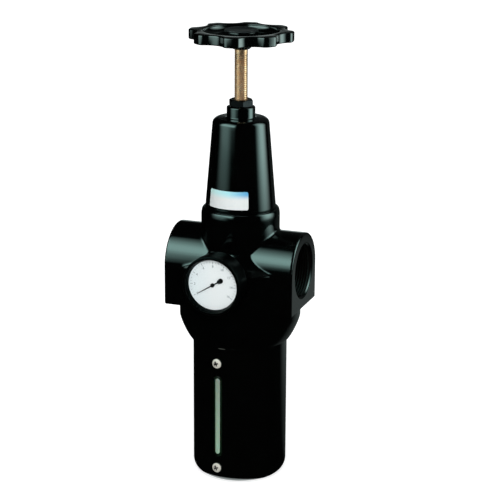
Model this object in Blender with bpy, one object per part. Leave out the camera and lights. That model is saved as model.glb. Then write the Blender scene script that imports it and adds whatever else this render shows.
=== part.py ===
"""Filter regulator: handwheel-set pressure regulator over a metal filter bowl with a sight glass.

Metres, +Z up. The bowl's foot stands on z = 0 and the origin lies under the middle of the part's box.
Air enters at -X and leaves at +X, and the gauge faces -Y.
"""
import math

import bmesh
import bpy
from mathutils import Matrix, Vector

# Fits
SEAT_GAP = 0.0003
RUNNING_GAP = 0.0004

# Facets round a turned piece, by its size
LARGE_FACETS = 28
MEDIUM_FACETS = 20
SMALL_FACETS = 18
TINY_FACETS = 12

# Bowl
BOWL_RADIUS = 0.042
BOWL_WALL = 0.0045
BOWL_FLOOR = 0.005
BOWL_CORNER = 0.012
BOWL_EXPOSED = 0.128
BOWL_ENGAGED = 0.026
BOWL_SEAL_WIRE = 0.0024
DRAIN_RECESS_RADIUS = 0.016
DRAIN_RECESS_DEPTH = 0.014

# Valve body outside
SKIRT_RADIUS = 0.054
SKIRT_HEIGHT = 0.070
SKIRT_TURN = 0.020
SKIRT_LIP = 0.001
SKIRT_EDGE = 0.0012
NECK_RADIUS = 0.0347
NECK_EDGE = 0.0015
NECK_RISE = 0.053
FLARE_RISE = 0.018
FLARE_PULL_IN = 0.35
FLARE_PULL_UP = 0.33
PORT_RISE = 0.067
PORT_SPAN = 0.119
BOSS_RADIUS = 0.034
BOSS_EDGE = 0.001

# Ports, for G1-1/2 pipe
PORT_BORE_RADIUS = 0.0224
PORT_MOUTH_RADIUS = 0.0244
PORT_DEPTH = 0.0295

# Valve body inside
CORED_WALL = 0.005
COLUMN_RADIUS = 0.024
COLUMN_WALL = 0.007
COLUMN_DROP = 0.007
INLET_SLOT_RISE = 0.005
INLET_SLOT_SPREAD = math.radians(80)
SEAT_RISE = 0.002
SEAT_WALL = 0.006
SEAT_HOLE_RADIUS = 0.011
SEAT_LIP_HEIGHT = 0.0006
SEAT_LIP_WIDTH = 0.0012
OUTLET_RADIUS = 0.020
OUTLET_WINDOW_RADIUS = 0.0075
PARTITION = 0.006
CONTROL_DEPTH = 0.008
DIAPHRAGM_RIM = 0.0033
NECK_BORE_RADIUS = 0.0303
NECK_BORE_DEPTH = 0.012

# Gauge pads, front and rear, for G1/4 threads
PAD_OFFSET = 0.046
PAD_BOSS_RADIUS = 0.014
PAD_BORE_RADIUS = 0.0063
PAD_BORE_DEPTH = 0.012
REAR_PAD_RADIUS = 0.0148

# Bonnet
BONNET_RISE = 0.080
BONNET_BASE_RADIUS = 0.0311
BONNET_SHOULDER_RADIUS = 0.0249
BONNET_CORNER = 0.005
BONNET_WALL = 0.004
BONNET_ROOF = 0.005
BONNET_BOSS_RADIUS = 0.0125
BONNET_BOSS_HEIGHT = 0.0098
BONNET_BOSS_EDGE = 0.001
BONNET_BOSS_FLARE = 0.0012
VENT_RADIUS = 0.0015
VENT_RISE = 0.010

# Diaphragm and the plates it carries
DIAPHRAGM_THICKNESS = 0.002
CONVOLUTION_RISE = 0.0018
RELIEF_NECK_RADIUS = 0.004
RELIEF_FLANGE_RADIUS = 0.009
RELIEF_FLANGE = 0.003
RELIEF_VENT_RADIUS = 0.0012
PLATE_RADIUS = 0.020
PLATE_THICKNESS = 0.002
PLATE_RIM_HEIGHT = 0.003
PLATE_RIM_WIDTH = 0.0014
DIAPHRAGM_NUT_FLATS = 0.013
DIAPHRAGM_NUT_HEIGHT = 0.004

# Springs: mean radius, wire diameter, turns, and the room inside the main one
SPRING_CLEARANCE = 0.0008
MAIN_SPRING_RADIUS = 0.015
MAIN_SPRING_WIRE = 0.0045
MAIN_SPRING_TURNS = 8
VALVE_SPRING_RADIUS = 0.0095
VALVE_SPRING_WIRE = 0.0016
VALVE_SPRING_TURNS = 5

# Upper spring seat
UPPER_SEAT_RADIUS = 0.019
UPPER_SEAT_THICKNESS = 0.004
UPPER_SEAT_SPIGOT = 0.004
SCREW_TIP_RADIUS = 0.0045
SCREW_TIP_LENGTH = 0.003
SCREW_SOCKET_DEPTH = 0.0025

# Adjusting screw, M12, and its lock nut
SCREW_RADIUS = 0.0057
SCREW_EXPOSED = 0.0502
LOCK_NUT_FLATS = 0.019
LOCK_NUT_HEIGHT = 0.006

# Handwheel
WHEEL_RADIUS = 0.0458
WHEEL_LOBES = 8
WHEEL_TURN = math.radians(31.5)
NOTCH_DEPTH = 0.007
NOTCH_RADIUS = 0.015
LOBE_FILLET = 0.0055
RIM_HEIGHT = 0.0087
RIM_EDGE = 0.0011
RIM_INNER_RADIUS = 0.0335
WEB_THICKNESS = 0.0022
HUB_DROP = 0.0074
HUB_FOOT_RADIUS = 0.008
HUB_RADIUS = 0.0145
HUB_RECESS_RADIUS = 0.011
HUB_RECESS_DEPTH = 0.0045
HUB_SET_DOWN = 0.0008
WHEEL_PILOT_RADIUS = 0.004
WHEEL_NUT_FLATS = 0.013
WHEEL_NUT_HEIGHT = 0.0032
WHEEL_CAP_THICKNESS = 0.0012

# Valve
VALVE_TRAVEL = 0.003
VALVE_STEM_RADIUS = 0.0032
VALVE_SEAL_RADIUS = 0.0135
VALVE_SEAL_THICKNESS = 0.003
POPPET_RADIUS = 0.014
POPPET_THICKNESS = 0.0048
POPPET_BOSS_RADIUS = 0.006
POPPET_BOSS_HEIGHT = 0.006
GUIDE_STEM_RADIUS = 0.004
GUIDE_DEPTH = 0.006
VALVE_CAP_RISE = 0.006
VALVE_CAP_THICKNESS = 0.006
VALVE_CAP_HUB_RADIUS = 0.007
VALVE_CAP_HUB_HEIGHT = 0.008
VALVE_CAP_HOLES = 6
VALVE_CAP_HOLE_RADIUS = 0.0026
STUD_RADIUS = 0.003
STUD_ENGAGED = 0.005

# Filter
QUIET_ZONE = 0.026
DEFLECTOR_THICKNESS = 0.002
DEFLECTOR_DEPTH = 0.009
DEFLECTOR_RING = 0.0014
DEFLECTOR_CLEARANCE = 0.001
DEFLECTOR_VANES = 10
VANE_THICKNESS = 0.0012
VANE_TILT = math.radians(40)
BAFFLE_CLEARANCE = 0.0008
BAFFLE_BRIM = 0.002
BAFFLE_THICKNESS = 0.002
BAFFLE_DROP = 0.0065
STUD_TAIL = 0.009
BAFFLE_NUT_FLATS = 0.010
BAFFLE_NUT_HEIGHT = 0.005

# Sight glass
SIGHT_TURN = math.radians(-8.5)
SIGHT_WIDTH = 0.0096
SIGHT_BOTTOM = 0.0255
SIGHT_SET_BACK = 0.0008
SIGHT_FLANGE_WIDTH = 0.0026
SIGHT_FLANGE_THICKNESS = 0.0017
SIGHT_GASKET_THICKNESS = 0.0008
SIGHT_CLAMP_THICKNESS = 0.0014
SIGHT_CLAMP_TAIL = 0.006
SIGHT_SCREW_BOTTOM = 0.0151
SIGHT_SCREW_DROP = 0.0139
SIGHT_SLOT_DROP = 0.0119
SIGHT_SCREW_RADIUS = 0.002
SIGHT_HEAD_RADIUS = 0.0043
SIGHT_HEAD_HEIGHT = 0.002
SIGHT_BOSS_RADIUS = 0.004

# Drain
DRAIN_SHANK_RADIUS = 0.005
DRAIN_FLANGE_RADIUS = 0.009
DRAIN_FLANGE = 0.0025
DRAIN_NUT_FLATS = 0.015
DRAIN_NUT_HEIGHT = 0.004
DRAIN_PIN_RADIUS = 0.002
DRAIN_PIN_LENGTH = 0.005
DRAIN_KNOB_RADIUS = 0.008
DRAIN_KNOB_HEIGHT = 0.0085
DRAIN_KNOB_FLUTES = 6
DRAIN_KNOB_FLUTE_RADIUS = 0.0012

# Gauge, 50 mm, back mounted
GAUGE_RADIUS = 0.0262
GAUGE_HEX_FLATS = 0.014
GAUGE_HEX_LENGTH = 0.004
GAUGE_STEM_LENGTH = 0.010
GAUGE_DEPTH = 0.0227
GAUGE_CASE_WALL = 0.001
BEZEL_WALL = 0.0009
BEZEL_LENGTH = 0.009
BEZEL_EDGE = 0.0005
BEZEL_LIP = 0.0007
GAUGE_WINDOW_RADIUS = 0.0226
GAUGE_LENS_THICKNESS = 0.001
DIAL_THICKNESS = 0.0004
DIAL_DEPTH = 0.0017
DIAL_LEDGE = 0.0012
POINTER_LENGTH = 0.0176
POINTER_TAIL = 0.011
POINTER_TAIL_WIDTH = 0.0034
POINTER_TAIL_LENGTH = 0.0033
POINTER_BOSS_RADIUS = 0.0018
POINTER_BOSS_HEIGHT = 0.0011
POINTER_BLADE = 0.0005
POINTER_STAFF_RADIUS = 0.0009
POINTER_REST = math.radians(212)

# Rear plug
PLUG_COLLAR_RADIUS = 0.0085
PLUG_COLLAR = 0.0026
PLUG_LENGTH = 0.010
PLUG_SOCKET_FLATS = 0.006
PLUG_SOCKET_DEPTH = 0.005

# Radii that follow
bowl_inner = BOWL_RADIUS - BOWL_WALL
bowl_bore = BOWL_RADIUS + RUNNING_GAP
column_bore = COLUMN_RADIUS - COLUMN_WALL
control_radius = NECK_BORE_RADIUS - DIAPHRAGM_RIM
spigot_radius = NECK_BORE_RADIUS - SEAT_GAP
housing_bore = COLUMN_RADIUS + SEAT_GAP
gasket_outer = bowl_inner - SEAT_GAP - RUNNING_GAP
flange_outer = gasket_outer - SIGHT_GASKET_THICKNESS - SEAT_GAP
flange_inner = flange_outer - SIGHT_FLANGE_THICKNESS
clamp_outer = flange_inner - SEAT_GAP
clamp_inner = clamp_outer - SIGHT_CLAMP_THICKNESS
baffle_radius = clamp_inner - BAFFLE_CLEARANCE

# Heights that follow, from the foot up
bowl_top = BOWL_EXPOSED + BOWL_ENGAGED
bowl_bore_top = bowl_top + BOWL_SEAL_WIRE + 2 * SEAT_GAP
column_bottom = bowl_bore_top - COLUMN_DROP
port_height = BOWL_EXPOSED + PORT_RISE
skirt_top = BOWL_EXPOSED + SKIRT_HEIGHT
gallery_top = port_height - PORT_BORE_RADIUS - CORED_WALL
seat_height = port_height + SEAT_RISE
outlet_floor = seat_height + SEAT_WALL
neck_top = port_height + NECK_RISE
ledge_height = neck_top - NECK_BORE_DEPTH
control_floor = ledge_height - CONTROL_DEPTH
outlet_roof = control_floor - PARTITION
diaphragm_bottom = ledge_height + SEAT_GAP
diaphragm_top = diaphragm_bottom + DIAPHRAGM_THICKNESS
plate_bottom = diaphragm_top + SEAT_GAP
plate_top = plate_bottom + PLATE_THICKNESS
relief_bottom = diaphragm_bottom - SEAT_GAP - RELIEF_FLANGE
bonnet_base = neck_top + SEAT_GAP
bonnet_top = neck_top + BONNET_RISE
cavity_roof = bonnet_top - BONNET_ROOF
boss_top = bonnet_top + BONNET_BOSS_HEIGHT
upper_seat_top = cavity_roof - SEAT_GAP
upper_seat_bottom = upper_seat_top - UPPER_SEAT_THICKNESS
screw_tip = upper_seat_top - SCREW_SOCKET_DEPTH + SEAT_GAP
hub_bottom = boss_top + SCREW_EXPOSED
web_bottom = hub_bottom + HUB_DROP
web_top = web_bottom + WEB_THICKNESS
rim_top = web_bottom + RIM_HEIGHT
hub_top = rim_top - HUB_SET_DOWN
hub_recess_floor = hub_top - HUB_RECESS_DEPTH
valve_seal_top = seat_height - SEAT_LIP_HEIGHT - SEAT_GAP
poppet_top = valve_seal_top - VALVE_SEAL_THICKNESS - SEAT_GAP
poppet_bottom = poppet_top - POPPET_THICKNESS
valve_cap_bottom = column_bottom + VALVE_CAP_RISE
valve_cap_top = valve_cap_bottom + VALVE_CAP_THICKNESS
guide_top = valve_cap_top + VALVE_CAP_HUB_HEIGHT
guide_floor = guide_top - GUIDE_DEPTH
stud_top = valve_cap_bottom + STUD_ENGAGED
deflector_top = column_bottom - SEAT_GAP
element_top = deflector_top - DEFLECTOR_THICKNESS - SEAT_GAP
sight_screw_top = BOWL_EXPOSED - SIGHT_SCREW_DROP
sight_length = sight_screw_top - SIGHT_SLOT_DROP - SIGHT_BOTTOM
drain_roof = DRAIN_RECESS_DEPTH
drain_ceiling = drain_roof + BOWL_FLOOR
baffle_top = drain_ceiling + QUIET_ZONE
element_bottom = baffle_top + SEAT_GAP
drain_flange_bottom = drain_roof - SEAT_GAP - DRAIN_FLANGE

# Distances in front of the body's axis that follow
gauge_back = PAD_OFFSET + GAUGE_HEX_LENGTH + 2 * SEAT_GAP
gauge_front = gauge_back + GAUGE_DEPTH
lens_front = gauge_front - BEZEL_LIP - SEAT_GAP
case_front = lens_front - GAUGE_LENS_THICKNESS - SEAT_GAP
dial_face = case_front - DIAL_DEPTH
axis_y = (gauge_front - SKIRT_RADIUS) / 2


def material(name, colour, roughness, metallic=0.0, alpha=1.0):
    """One Principled material; colour is linear."""
    made = bpy.data.materials.new(name)
    made.use_nodes = True
    shader = made.node_tree.nodes["Principled BSDF"]
    shader.inputs["Base Color"].default_value = (*colour, 1.0)
    shader.inputs["Roughness"].default_value = roughness
    shader.inputs["Metallic"].default_value = metallic
    shader.inputs["Alpha"].default_value = alpha
    made.diffuse_color = (*colour, alpha)
    return made


def circle(radius, facets):
    turn = 2 * math.pi / facets
    return [(radius * math.cos(i * turn), radius * math.sin(i * turn)) for i in range(facets)]


def polygon(sides, flats, facets):
    """A regular polygon across its flats, with extra points along its sides."""
    points = []
    for i in range(facets):
        angle = 2 * math.pi * i / facets
        within = angle % (2 * math.pi / sides) - math.pi / sides
        radius = flats / 2 / math.cos(within)
        points.append((radius * math.cos(angle), radius * math.sin(angle)))
    return points


def arc(centre, radii, start, end, steps):
    """Points of an elliptical arc in a profile's plane, from start to end in degrees."""
    points = []
    for i in range(steps + 1):
        angle = math.radians(start + (end - start) * i / steps)
        points.append((centre[0] + radii[0] * math.cos(angle), centre[1] + radii[1] * math.sin(angle)))
    return points


def bend(start, control, end, steps):
    """Points of a quadratic curve in a profile's plane."""
    points = []
    for i in range(steps + 1):
        t = i / steps
        weights = ((1 - t) ** 2, 2 * t * (1 - t), t * t)
        points.append(tuple(sum(w * p[k] for w, p in zip(weights, (start, control, end))) for k in (0, 1)))
    return points


def mesh_of(name, rings, closed):
    """A mesh skinned over rings of points; closed joins the last ring to the first."""
    shape = bmesh.new()
    rings = [[shape.verts.new(point) for point in ring] for ring in rings]
    followers = rings[1:] + rings[:1] if closed else rings[1:]
    for lower, upper in zip(rings, followers):
        for i in range(len(lower)):
            after = (i + 1) % len(lower)
            shape.faces.new((lower[i], lower[after], upper[after], upper[i]))
    if not closed:
        shape.faces.new(reversed(rings[0]))
        shape.faces.new(rings[-1])
    mesh = bpy.data.meshes.new(name)
    shape.to_mesh(mesh)
    shape.free()
    mesh.shade_smooth()
    mesh.set_sharp_from_angle(angle=math.radians(32))
    return mesh


def loft(name, sections, closed=False):
    """A mesh through outlines, each at its own height; ends are capped unless closed."""
    return mesh_of(name, [[(x, y, z) for x, y in outline] for outline, z in sections], closed)


def turned(name, profile, facets, closed=False):
    """A turned shape. The profile runs up its outer side; closed goes back down a bore."""
    return loft(name, [(circle(radius, facets), height) for radius, height in profile], closed)


def rod(name, start, end, radius, facets):
    """A cylinder between two points."""
    along = Vector(end) - Vector(start)
    place = Matrix.Translation(start) @ along.to_track_quat("Z", "Y").to_matrix().to_4x4()
    mesh = turned(name, [(radius, 0.0), (radius, along.length)], facets)
    mesh.transform(place)
    return mesh


def coil(name, radius, wire, bottom, top, turns, steps, sides):
    """A compression spring with its end turns closed."""
    end_pitch = wire + SEAT_GAP
    active = turns - 2
    active_pitch = (top - bottom - wire - 2 * end_pitch) / active
    rings = []
    for i in range(round(turns * steps) + 1):
        turn = i / steps
        rise = min(turn, 1) * end_pitch
        rise += min(max(turn - 1, 0), active) * active_pitch
        rise += max(turn - 1 - active, 0) * end_pitch
        angle = 2 * math.pi * turn
        outward = Vector((math.cos(angle), math.sin(angle), 0))
        centre = radius * outward + Vector((0, 0, bottom + wire / 2 + rise))
        ring = []
        for k in range(sides):
            around = -2 * math.pi * k / sides
            ring.append(centre + wire / 2 * (math.cos(around) * outward + Vector((0, 0, math.sin(around)))))
        rings.append(ring)
    return mesh_of(name, rings, closed=False)


def add(name, mesh, finish, parent):
    """One sub-part, in its parent's frame."""
    piece = bpy.data.objects.new(name, mesh)
    piece.data.materials.append(finish)
    piece.parent = parent
    bpy.context.scene.collection.objects.link(piece)
    return piece


def shape(target, name, mesh, operation="DIFFERENCE"):
    """Cuts a guide shape out of a piece, or joins it on, in the piece's frame."""
    guide = bpy.data.objects.new(f"{target.name}_{name}", mesh)
    guide.parent = target
    guide.hide_render = True
    guide.display_type = "WIRE"
    bpy.context.scene.collection.objects.link(guide)
    step = target.modifiers.new(name, "BOOLEAN")
    step.operation = operation
    step.solver = "EXACT"
    step.object = guide


def empty(name, location, parent=None, rotation=(0, 0, 0)):
    frame = bpy.data.objects.new(name, None)
    frame.location = location
    frame.rotation_euler = rotation
    frame.parent = parent
    bpy.context.scene.collection.objects.link(frame)
    return frame


def flare_profile():
    """The outside of the body, from the skirt's mouth up to the neck's rim."""
    mouth = bowl_bore + SKIRT_LIP
    turn = (SKIRT_RADIUS - mouth, SKIRT_TURN)
    points = arc((mouth, BOWL_EXPOSED + SKIRT_TURN), turn, -90, 0, 5)
    points.append((SKIRT_RADIUS, skirt_top - SKIRT_EDGE))
    flare_end = (NECK_RADIUS, port_height + FLARE_RISE)
    pull_in = NECK_RADIUS + FLARE_PULL_IN * (SKIRT_RADIUS - NECK_RADIUS)
    pull_up = skirt_top + FLARE_PULL_UP * (flare_end[1] - skirt_top)
    points += bend((SKIRT_RADIUS - SKIRT_EDGE, skirt_top), (pull_in, pull_up), flare_end, 4)
    points.append((NECK_RADIUS, neck_top - NECK_EDGE))
    points.append((NECK_RADIUS - NECK_EDGE, neck_top))
    return points


def core_profile():
    """The cored inside of the body, from below the skirt up through housing, chambers and neck bore."""
    return [
        (bowl_bore, BOWL_EXPOSED - CORED_WALL),
        (bowl_bore, bowl_bore_top),
        (bowl_inner, bowl_bore_top),
        (bowl_inner, gallery_top),
        (housing_bore, gallery_top),
        (housing_bore, outlet_floor),
        (OUTLET_RADIUS, outlet_floor),
        (OUTLET_RADIUS, outlet_roof),
        (VALVE_STEM_RADIUS + SEAT_GAP, outlet_roof),
        (VALVE_STEM_RADIUS + SEAT_GAP, control_floor),
        (control_radius, control_floor),
        (control_radius, ledge_height),
        (NECK_BORE_RADIUS, ledge_height),
        (NECK_BORE_RADIUS, neck_top + CORED_WALL),
    ]


def boss_outline(inset):
    """An arched port boss seen from its end: y across, height up, round top and flat bottom."""
    radius = BOSS_RADIUS - inset
    top = arc((0, port_height), (radius, radius), 0, 180, MEDIUM_FACETS)
    return top + [(-radius, port_height - radius), (radius, port_height - radius)]


def along_x(outline, stations):
    """Rings of a shape that runs along X: each station is (x, outline of y and z)."""
    return [[(x, y, z) for y, z in outline(inset)] for x, inset in stations]


def slot_sector():
    """The curved slot that takes the inlet air down past the valve housing."""
    steps = 8
    start = math.pi - INLET_SLOT_SPREAD / 2
    angles = [start + INLET_SLOT_SPREAD * i / steps for i in range(steps + 1)]
    within = column_bore
    outline = [(bowl_inner * math.cos(a), bowl_inner * math.sin(a)) for a in angles]
    outline += [(within * math.cos(a), within * math.sin(a)) for a in reversed(angles)]
    low = gallery_top - CORED_WALL
    return loft("inlet_slot", [(outline, low), (outline, port_height + INLET_SLOT_RISE)])


def make_valve_body(axis, paint):
    """One casting: skirt, flared neck, port bosses and gauge pads, cored for the valve housing."""
    body = add("valve_body", turned("valve_body", flare_profile(), LARGE_FACETS), paint, axis)
    half = PORT_SPAN / 2
    stations = [(-half, BOSS_EDGE), (BOSS_EDGE - half, 0), (half - BOSS_EDGE, 0), (half, BOSS_EDGE)]
    shape(body, "port_bosses", mesh_of("port_bosses", along_x(boss_outline, stations), False), "UNION")
    pad_ends = [(0, side * PAD_OFFSET, port_height) for side in (-1, 1)]
    pads = rod("pads", *pad_ends, PAD_BOSS_RADIUS, MEDIUM_FACETS)
    shape(body, "gauge_pads", pads, "UNION")
    shape(body, "core", turned("core", core_profile(), LARGE_FACETS))

    chamfer = PORT_MOUTH_RADIUS - PORT_BORE_RADIUS
    for side, name in ((-1, "inlet"), (1, "outlet")):
        bore = [
            (PORT_BORE_RADIUS, half - PORT_DEPTH),
            (PORT_BORE_RADIUS, half - chamfer),
            (PORT_MOUTH_RADIUS + chamfer, half + chamfer),
        ]
        mesh = turned(f"{name}_bore", bore, LARGE_FACETS)
        place = Matrix.Translation((0, 0, port_height))
        mesh.transform(place @ Matrix.Rotation(side * math.pi / 2, 4, "Y"))
        shape(body, f"{name}_bore", mesh)
    shape(body, "inlet_slot", slot_sector())
    window = (outlet_floor + outlet_roof) / 2
    reach = half - PORT_DEPTH + CORED_WALL
    way_out = rod("window", (0, 0, window), (reach, 0, window), OUTLET_WINDOW_RADIUS, SMALL_FACETS)
    shape(body, "window", way_out)

    for side, name, pad in ((-1, "front", GAUGE_RADIUS + 4 * RUNNING_GAP), (1, "rear", REAR_PAD_RADIUS)):
        face = side * PAD_OFFSET
        beyond = side * (SKIRT_RADIUS + CORED_WALL)
        floor = side * (PAD_OFFSET - PAD_BORE_DEPTH)
        spot = rod(f"{name}_pad", (0, face, port_height), (0, beyond, port_height), pad, LARGE_FACETS)
        shape(body, f"{name}_pad", spot)
        ends = ((0, floor, port_height), (0, beyond, port_height))
        shape(body, f"{name}_bore", rod(f"{name}_bore", *ends, PAD_BORE_RADIUS, SMALL_FACETS))


def make_bonnet(axis, paint):
    """The spring housing: a tapered thin-walled bell with a threaded boss and a spigot below."""
    shoulder = bonnet_top - BONNET_CORNER
    outer = [(spigot_radius, plate_bottom), (spigot_radius, bonnet_base), (BONNET_BASE_RADIUS, bonnet_base)]
    corner = (BONNET_SHOULDER_RADIUS - BONNET_CORNER, shoulder)
    outer += arc(corner, (BONNET_CORNER, BONNET_CORNER), 0, 90, 3)
    flare = (BONNET_BOSS_RADIUS + BONNET_BOSS_FLARE, bonnet_top + BONNET_BOSS_FLARE)
    outer += arc(flare, (BONNET_BOSS_FLARE, BONNET_BOSS_FLARE), 270, 180, 2)
    outer.append((BONNET_BOSS_RADIUS, boss_top - BONNET_BOSS_EDGE))
    outer.append((BONNET_BOSS_RADIUS - BONNET_BOSS_EDGE, boss_top))
    thread = SCREW_RADIUS + SEAT_GAP
    spigot_inner = spigot_radius - BONNET_WALL
    inner = [
        (thread, boss_top),
        (thread, cavity_roof),
        (BONNET_SHOULDER_RADIUS - BONNET_WALL, cavity_roof),
        (BONNET_BASE_RADIUS - BONNET_WALL, bonnet_base + BONNET_WALL),
        (spigot_inner, bonnet_base),
        (spigot_inner, plate_bottom),
    ]
    bonnet = add("bonnet", turned("bonnet", outer + inner, LARGE_FACETS, closed=True), paint, axis)
    height = bonnet_base + VENT_RISE
    vent = rod("vent", (0, control_radius / 2, height), (0, SKIRT_RADIUS, height), VENT_RADIUS, TINY_FACETS)
    shape(bonnet, "vent", vent)


def make_diaphragm_set(axis, rubber, brass, steel):
    """The diaphragm clamped under the bonnet, and the plate, relief seat and nut it carries."""
    hole = RELIEF_NECK_RADIUS + SEAT_GAP
    rim_inner = spigot_radius - BONNET_WALL - SEAT_GAP
    plate_edge = PLATE_RADIUS + SEAT_GAP
    crown = (plate_edge + rim_inner) / 2
    reach = (rim_inner - plate_edge) / 2
    over = arc((crown, diaphragm_top), (reach, CONVOLUTION_RISE), 0, 180, 3)
    under_reach = reach - DIAPHRAGM_THICKNESS / 2
    under = arc((crown, diaphragm_bottom), (under_reach, CONVOLUTION_RISE), 180, 0, 3)
    edge = [(spigot_radius, diaphragm_bottom), (spigot_radius, diaphragm_top)]
    centre = [(hole, diaphragm_top), (hole, diaphragm_bottom)]
    profile = edge + over + centre + under
    add("diaphragm", turned("diaphragm", profile, MEDIUM_FACETS, closed=True), rubber, axis)

    nut_bottom = plate_top + SEAT_GAP
    neck_end = nut_bottom + DIAPHRAGM_NUT_HEIGHT + SEAT_GAP
    relief = [
        (RELIEF_FLANGE_RADIUS, relief_bottom),
        (RELIEF_FLANGE_RADIUS, relief_bottom + RELIEF_FLANGE),
        (RELIEF_NECK_RADIUS, relief_bottom + RELIEF_FLANGE),
        (RELIEF_NECK_RADIUS, neck_end),
        (RELIEF_VENT_RADIUS, neck_end),
        (RELIEF_VENT_RADIUS, relief_bottom),
    ]
    add("relief_seat", turned("relief_seat", relief, TINY_FACETS, closed=True), brass, axis)

    rim_top_height = plate_top + PLATE_RIM_HEIGHT
    plate = [
        (PLATE_RADIUS, plate_bottom),
        (PLATE_RADIUS, rim_top_height),
        (PLATE_RADIUS - PLATE_RIM_WIDTH, rim_top_height),
        (PLATE_RADIUS - PLATE_RIM_WIDTH, plate_top),
        (hole, plate_top),
        (hole, plate_bottom),
    ]
    add("lower_spring_plate", turned("lower_spring_plate", plate, MEDIUM_FACETS, closed=True), steel, axis)
    nut = nut_mesh("diaphragm_nut", DIAPHRAGM_NUT_FLATS, hole, nut_bottom, DIAPHRAGM_NUT_HEIGHT)
    add("diaphragm_nut", nut, steel, axis)


def nut_mesh(name, flats, hole, bottom, height):
    """A hexagon nut with its top corners turned off."""
    facets = TINY_FACETS
    hexagon = polygon(6, flats, facets)
    chamfer = (flats / math.sqrt(3) - flats / 2) / 2
    sections = [
        (hexagon, bottom),
        (hexagon, bottom + height - chamfer),
        (circle(flats / 2, facets), bottom + height),
        (circle(hole, facets), bottom + height),
        (circle(hole, facets), bottom),
    ]
    return loft(name, sections, closed=True)


def make_springs(axis, steel):
    """The main spring over the diaphragm and the small one under the valve."""
    low = plate_top + SEAT_GAP
    high = upper_seat_bottom - SEAT_GAP
    main = coil("main_spring", MAIN_SPRING_RADIUS, MAIN_SPRING_WIRE, low, high, MAIN_SPRING_TURNS, 9, 5)
    add("main_spring", main, steel, axis)
    low = valve_cap_top + SEAT_GAP
    high = poppet_bottom - SEAT_GAP
    small = coil("valve_spring", VALVE_SPRING_RADIUS, VALVE_SPRING_WIRE, low, high, VALVE_SPRING_TURNS, 9, 4)
    add("valve_spring", small, steel, axis)


def make_screw_set(axis, zinc, brass, dark):
    """The upper spring seat, the adjusting screw that presses it, and the lock nut on the boss."""
    spigot = MAIN_SPRING_RADIUS - MAIN_SPRING_WIRE / 2 - SPRING_CLEARANCE
    spigot_end = upper_seat_bottom - UPPER_SEAT_SPIGOT
    socket = SCREW_TIP_RADIUS + SEAT_GAP
    seat = [
        (spigot, spigot_end),
        (spigot, upper_seat_bottom),
        (UPPER_SEAT_RADIUS, upper_seat_bottom),
        (UPPER_SEAT_RADIUS, upper_seat_top),
        (socket, upper_seat_top),
        (socket, upper_seat_top - SCREW_SOCKET_DEPTH),
    ]
    add("upper_spring_seat", turned("upper_spring_seat", seat, MEDIUM_FACETS), zinc, axis)

    shoulder = hub_bottom - SEAT_GAP
    tip_top = screw_tip + SCREW_TIP_LENGTH
    pilot_top = hub_recess_floor + SEAT_GAP + WHEEL_NUT_HEIGHT
    screw = [
        (SCREW_TIP_RADIUS, screw_tip),
        (SCREW_TIP_RADIUS, tip_top),
        (SCREW_RADIUS, tip_top + SCREW_RADIUS - SCREW_TIP_RADIUS),
        (SCREW_RADIUS, shoulder),
        (WHEEL_PILOT_RADIUS, shoulder),
        (WHEEL_PILOT_RADIUS, pilot_top),
    ]
    add("adjusting_screw", turned("adjusting_screw", screw, SMALL_FACETS), brass, axis)
    bottom = boss_top + SEAT_GAP
    nut = nut_mesh("lock_nut", LOCK_NUT_FLATS, SCREW_RADIUS + SEAT_GAP, bottom, LOCK_NUT_HEIGHT)
    add("lock_nut", nut, dark, axis)


def wheel_outline(inset):
    """The lobed rim: round notches between lobes whose corners are rounded, all by tangent arcs."""
    radius = WHEEL_RADIUS - inset
    notch = NOTCH_RADIUS + inset
    notch_centre = WHEEL_RADIUS - NOTCH_DEPTH + NOTCH_RADIUS
    fillet = LOBE_FILLET - inset
    ring = radius - fillet
    reach = notch + fillet
    cosine = (notch_centre ** 2 + ring ** 2 - reach ** 2) / (2 * notch_centre * ring)
    lean = math.acos(cosine)
    centre = Vector((ring * math.cos(lean), ring * math.sin(lean)))
    towards = Vector((notch_centre, 0)) - centre
    points = []
    turn = 2 * math.pi / WHEEL_LOBES
    for lobe in range(WHEEL_LOBES):
        middle = WHEEL_TURN + lobe * turn
        half = []
        touch = math.atan2(towards.y, towards.x) + 2 * math.pi
        for i in range(3):
            angle = touch + (lean + 2 * math.pi - touch) * i / 2
            half.append(centre + fillet * Vector((math.cos(angle), math.sin(angle))))
        sweep = math.atan2(-towards.y, -towards.x)
        floor = []
        for i in (-1, 0, 1):
            angle = math.pi + i * (math.pi - sweep) / 2
            floor.append(Vector((notch_centre + notch * math.cos(angle), notch * math.sin(angle))))
        mirrored = [Vector((p.x, -p.y)) for p in reversed(half)]
        crown = [radius * Vector((math.cos(turn / 2), math.sin(turn / 2)))]
        for p in mirrored + floor[::-1] + half + crown:
            points.append(tuple(Matrix.Rotation(middle, 2) @ p))
    return points


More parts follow.
